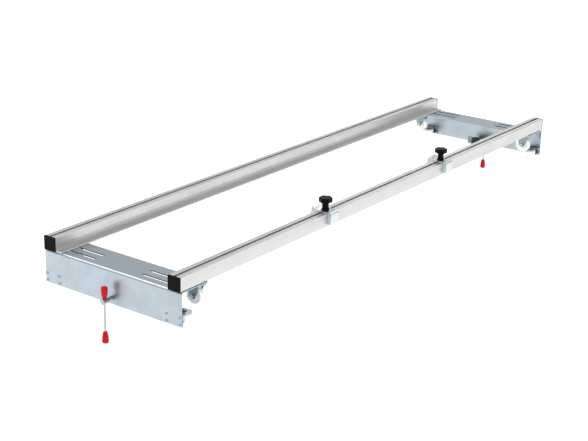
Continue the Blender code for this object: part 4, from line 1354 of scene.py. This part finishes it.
grip_profile = rounded(
    [
        (0, GRIP_BORE_DEPTH, 0),
        (BAR_RADIUS + GAP, GRIP_BORE_DEPTH, 0),
        (BAR_RADIUS + GAP, 0, 0),
        (GRIP_NECK_RADIUS, 0, GRIP_NECK_ROUND),
        *((wide * GRIP_RADIUS, long * GRIP_LENGTH, BELLY_ROUND) for wide, long in GRIP_BELLY),
        (GRIP_RADIUS, GRIP_LENGTH, GRIP_END_ROUND),
        (0, GRIP_LENGTH, 0),
    ],
    7,
    closed=False,
)
grip_mesh = turned(grip_profile, 64)
for end, way in ENDS.items():
    bar_low, bar_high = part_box(end + "_clamp_bar")
    bar_axis = shift(way * (half_length + BAR_REACH), 0, 0)
    bar_profile = rounded(
        [
            (0, bar_high.z, 0),
            (BAR_RADIUS, bar_high.z, BAR_END_ROUND),
            (BAR_RADIUS, bar_low.z, BAR_END_ROUND),
            (0, bar_low.z, 0),
        ],
        3,
        closed=False,
    )
    bar = put(end + "_clamp_rod", turned(bar_profile, 40), turned_steel, bar_axis, degrees=40)
    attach(bar, end + "_bar")
    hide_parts(end + "_clamp_bar")
    upper_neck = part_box(end + "_clamp_upper_grip")[0].z
    lower_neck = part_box(end + "_clamp_lower_grip")[1].z
    upside_down = Matrix.Rotation(math.pi, 4, "X")
    grip_spots = {
        "upper": bar_axis @ shift(0, 0, upper_neck),
        "lower": bar_axis @ shift(0, 0, lower_neck) @ upside_down,
    }
    for name, spot in grip_spots.items():
        grip = put(f"{end}_clamp_{name}_handle", grip_mesh, red_plastic, spot, degrees=40)
        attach(grip, end + "_bar")
        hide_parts(f"{end}_clamp_{name}_grip")


# ---- Floor, light and camera --------------------------------------------------------------
# A wide table top of white acrylic, lit softly from below, lies just under the hanging bars.
# The sky brightens overhead like a white tent, and three large soft lamps light the folds.

FLOOR_HALF = 40.0
FLOOR_THICKNESS = 0.02
FLOOR_DROP = 0.001
SKY_HORIZON = 0.45
SKY_OVERHEAD = 1.00
TABLE_GLOW = 0.85

floor_material = new_material("lit_white_acrylic_table")
# Matt opal acrylic with a very faint mottle. Its own glow washes the shadows out
floor_place = add(floor_material, "TexCoord", {}).outputs["Object"]
mottle_size = {"Scale": 1.5, "Detail": 2.0}
mottle = add(floor_material, "TexNoise", {"Vector": floor_place, **mottle_size}).outputs["Fac"]
floor_colours = {0: mottle, 6: linear("#C0C0C0"), 7: linear("#BCBCBC")}
floor_colour = add(floor_material, "Mix", floor_colours, data_type="RGBA")
floor_shader = add(
    floor_material,
    "BsdfPrincipled",
    {
        "Base Color": floor_colour.outputs[2],
        "Roughness": 0.9,
        "Specular IOR Level": 0.1,
        "Emission Color": (1, 1, 1, 1),
        "Emission Strength": TABLE_GLOW,
    },
)
add(floor_material, "OutputMaterial", {"Surface": floor_shader.outputs[0]})
floor_middle = cad_low.z - FLOOR_DROP - FLOOR_THICKNESS / 2
floor_mesh = extruded(
    [rectangle(-FLOOR_HALF, -FLOOR_HALF, FLOOR_HALF, FLOOR_HALF)],
    FLOOR_THICKNESS,
    shift(0, 0, floor_middle),
)
floor = put("floor", floor_mesh, floor_material, Matrix.Identity(4))

world = bpy.data.worlds.new("studio_tent")
bpy.context.scene.world = world
world.use_nodes = True
world.node_tree.nodes.clear()
direction = add(world, "TexCoord", {})
height = add(world, "SeparateXYZ", {0: direction.outputs["Generated"]})
brightness = add(
    world,
    "MapRange",
    {"Value": height.outputs["Z"], "To Min": SKY_HORIZON, "To Max": SKY_OVERHEAD},
)
sky = add(world, "Background", {"Color": (1, 1, 1, 1), "Strength": brightness.outputs[0]})
add(world, "OutputWorld", {"Surface": sky.outputs[0]})

# Each lamp: where it stands, its size in metres and its power in watts. All face the frame.
for lamp_name, lamp_at, lamp_size, lamp_power in (
    ("main_soft_lamp", (-1.4, 1.9, 2.9), 2.0, 46),
    ("front_soft_lamp", (-1.6, -3.6, 2.4), 2.4, 18),
    ("far_soft_lamp", (2.6, 0.6, 2.8), 1.8, 22),
):
    lamp = bpy.data.lights.new(lamp_name, "AREA")
    lamp.size = lamp_size
    lamp.energy = lamp_power
    holder = bpy.data.objects.new(lamp_name, lamp)
    bpy.context.scene.collection.objects.link(holder)
    holder.location = lamp_at
    holder.rotation_euler = (-Vector(lamp_at)).to_track_quat("-Z", "Y").to_euler()

CAMERA_AT = (-3.326, -2.275, 1.3615)
CAMERA_AZIMUTH = -54.03
CAMERA_ELEVATION = 19.61
CAMERA_ROLL = 1.48
CAMERA_LENS = 81.39

azimuth = math.radians(CAMERA_AZIMUTH)
elevation = math.radians(CAMERA_ELEVATION)
back = Vector(
    (
        math.sin(azimuth) * math.cos(elevation),
        -math.cos(azimuth) * math.cos(elevation),
        math.sin(elevation),
    )
)
aim = (-back).to_track_quat("-Z", "Y").to_matrix().to_4x4()
camera_data = bpy.data.cameras.new("camera")
camera_data.sensor_width = 36.0
camera_data.lens = CAMERA_LENS
camera = bpy.data.objects.new("camera", camera_data)
bpy.context.scene.collection.objects.link(camera)
camera.matrix_world = (
    Matrix.Translation(CAMERA_AT) @ aim @ Matrix.Rotation(math.radians(CAMERA_ROLL), 4, "Z")
)
bpy.context.scene.camera = camera
bpy.context.scene.view_settings.view_transform = "Standard"
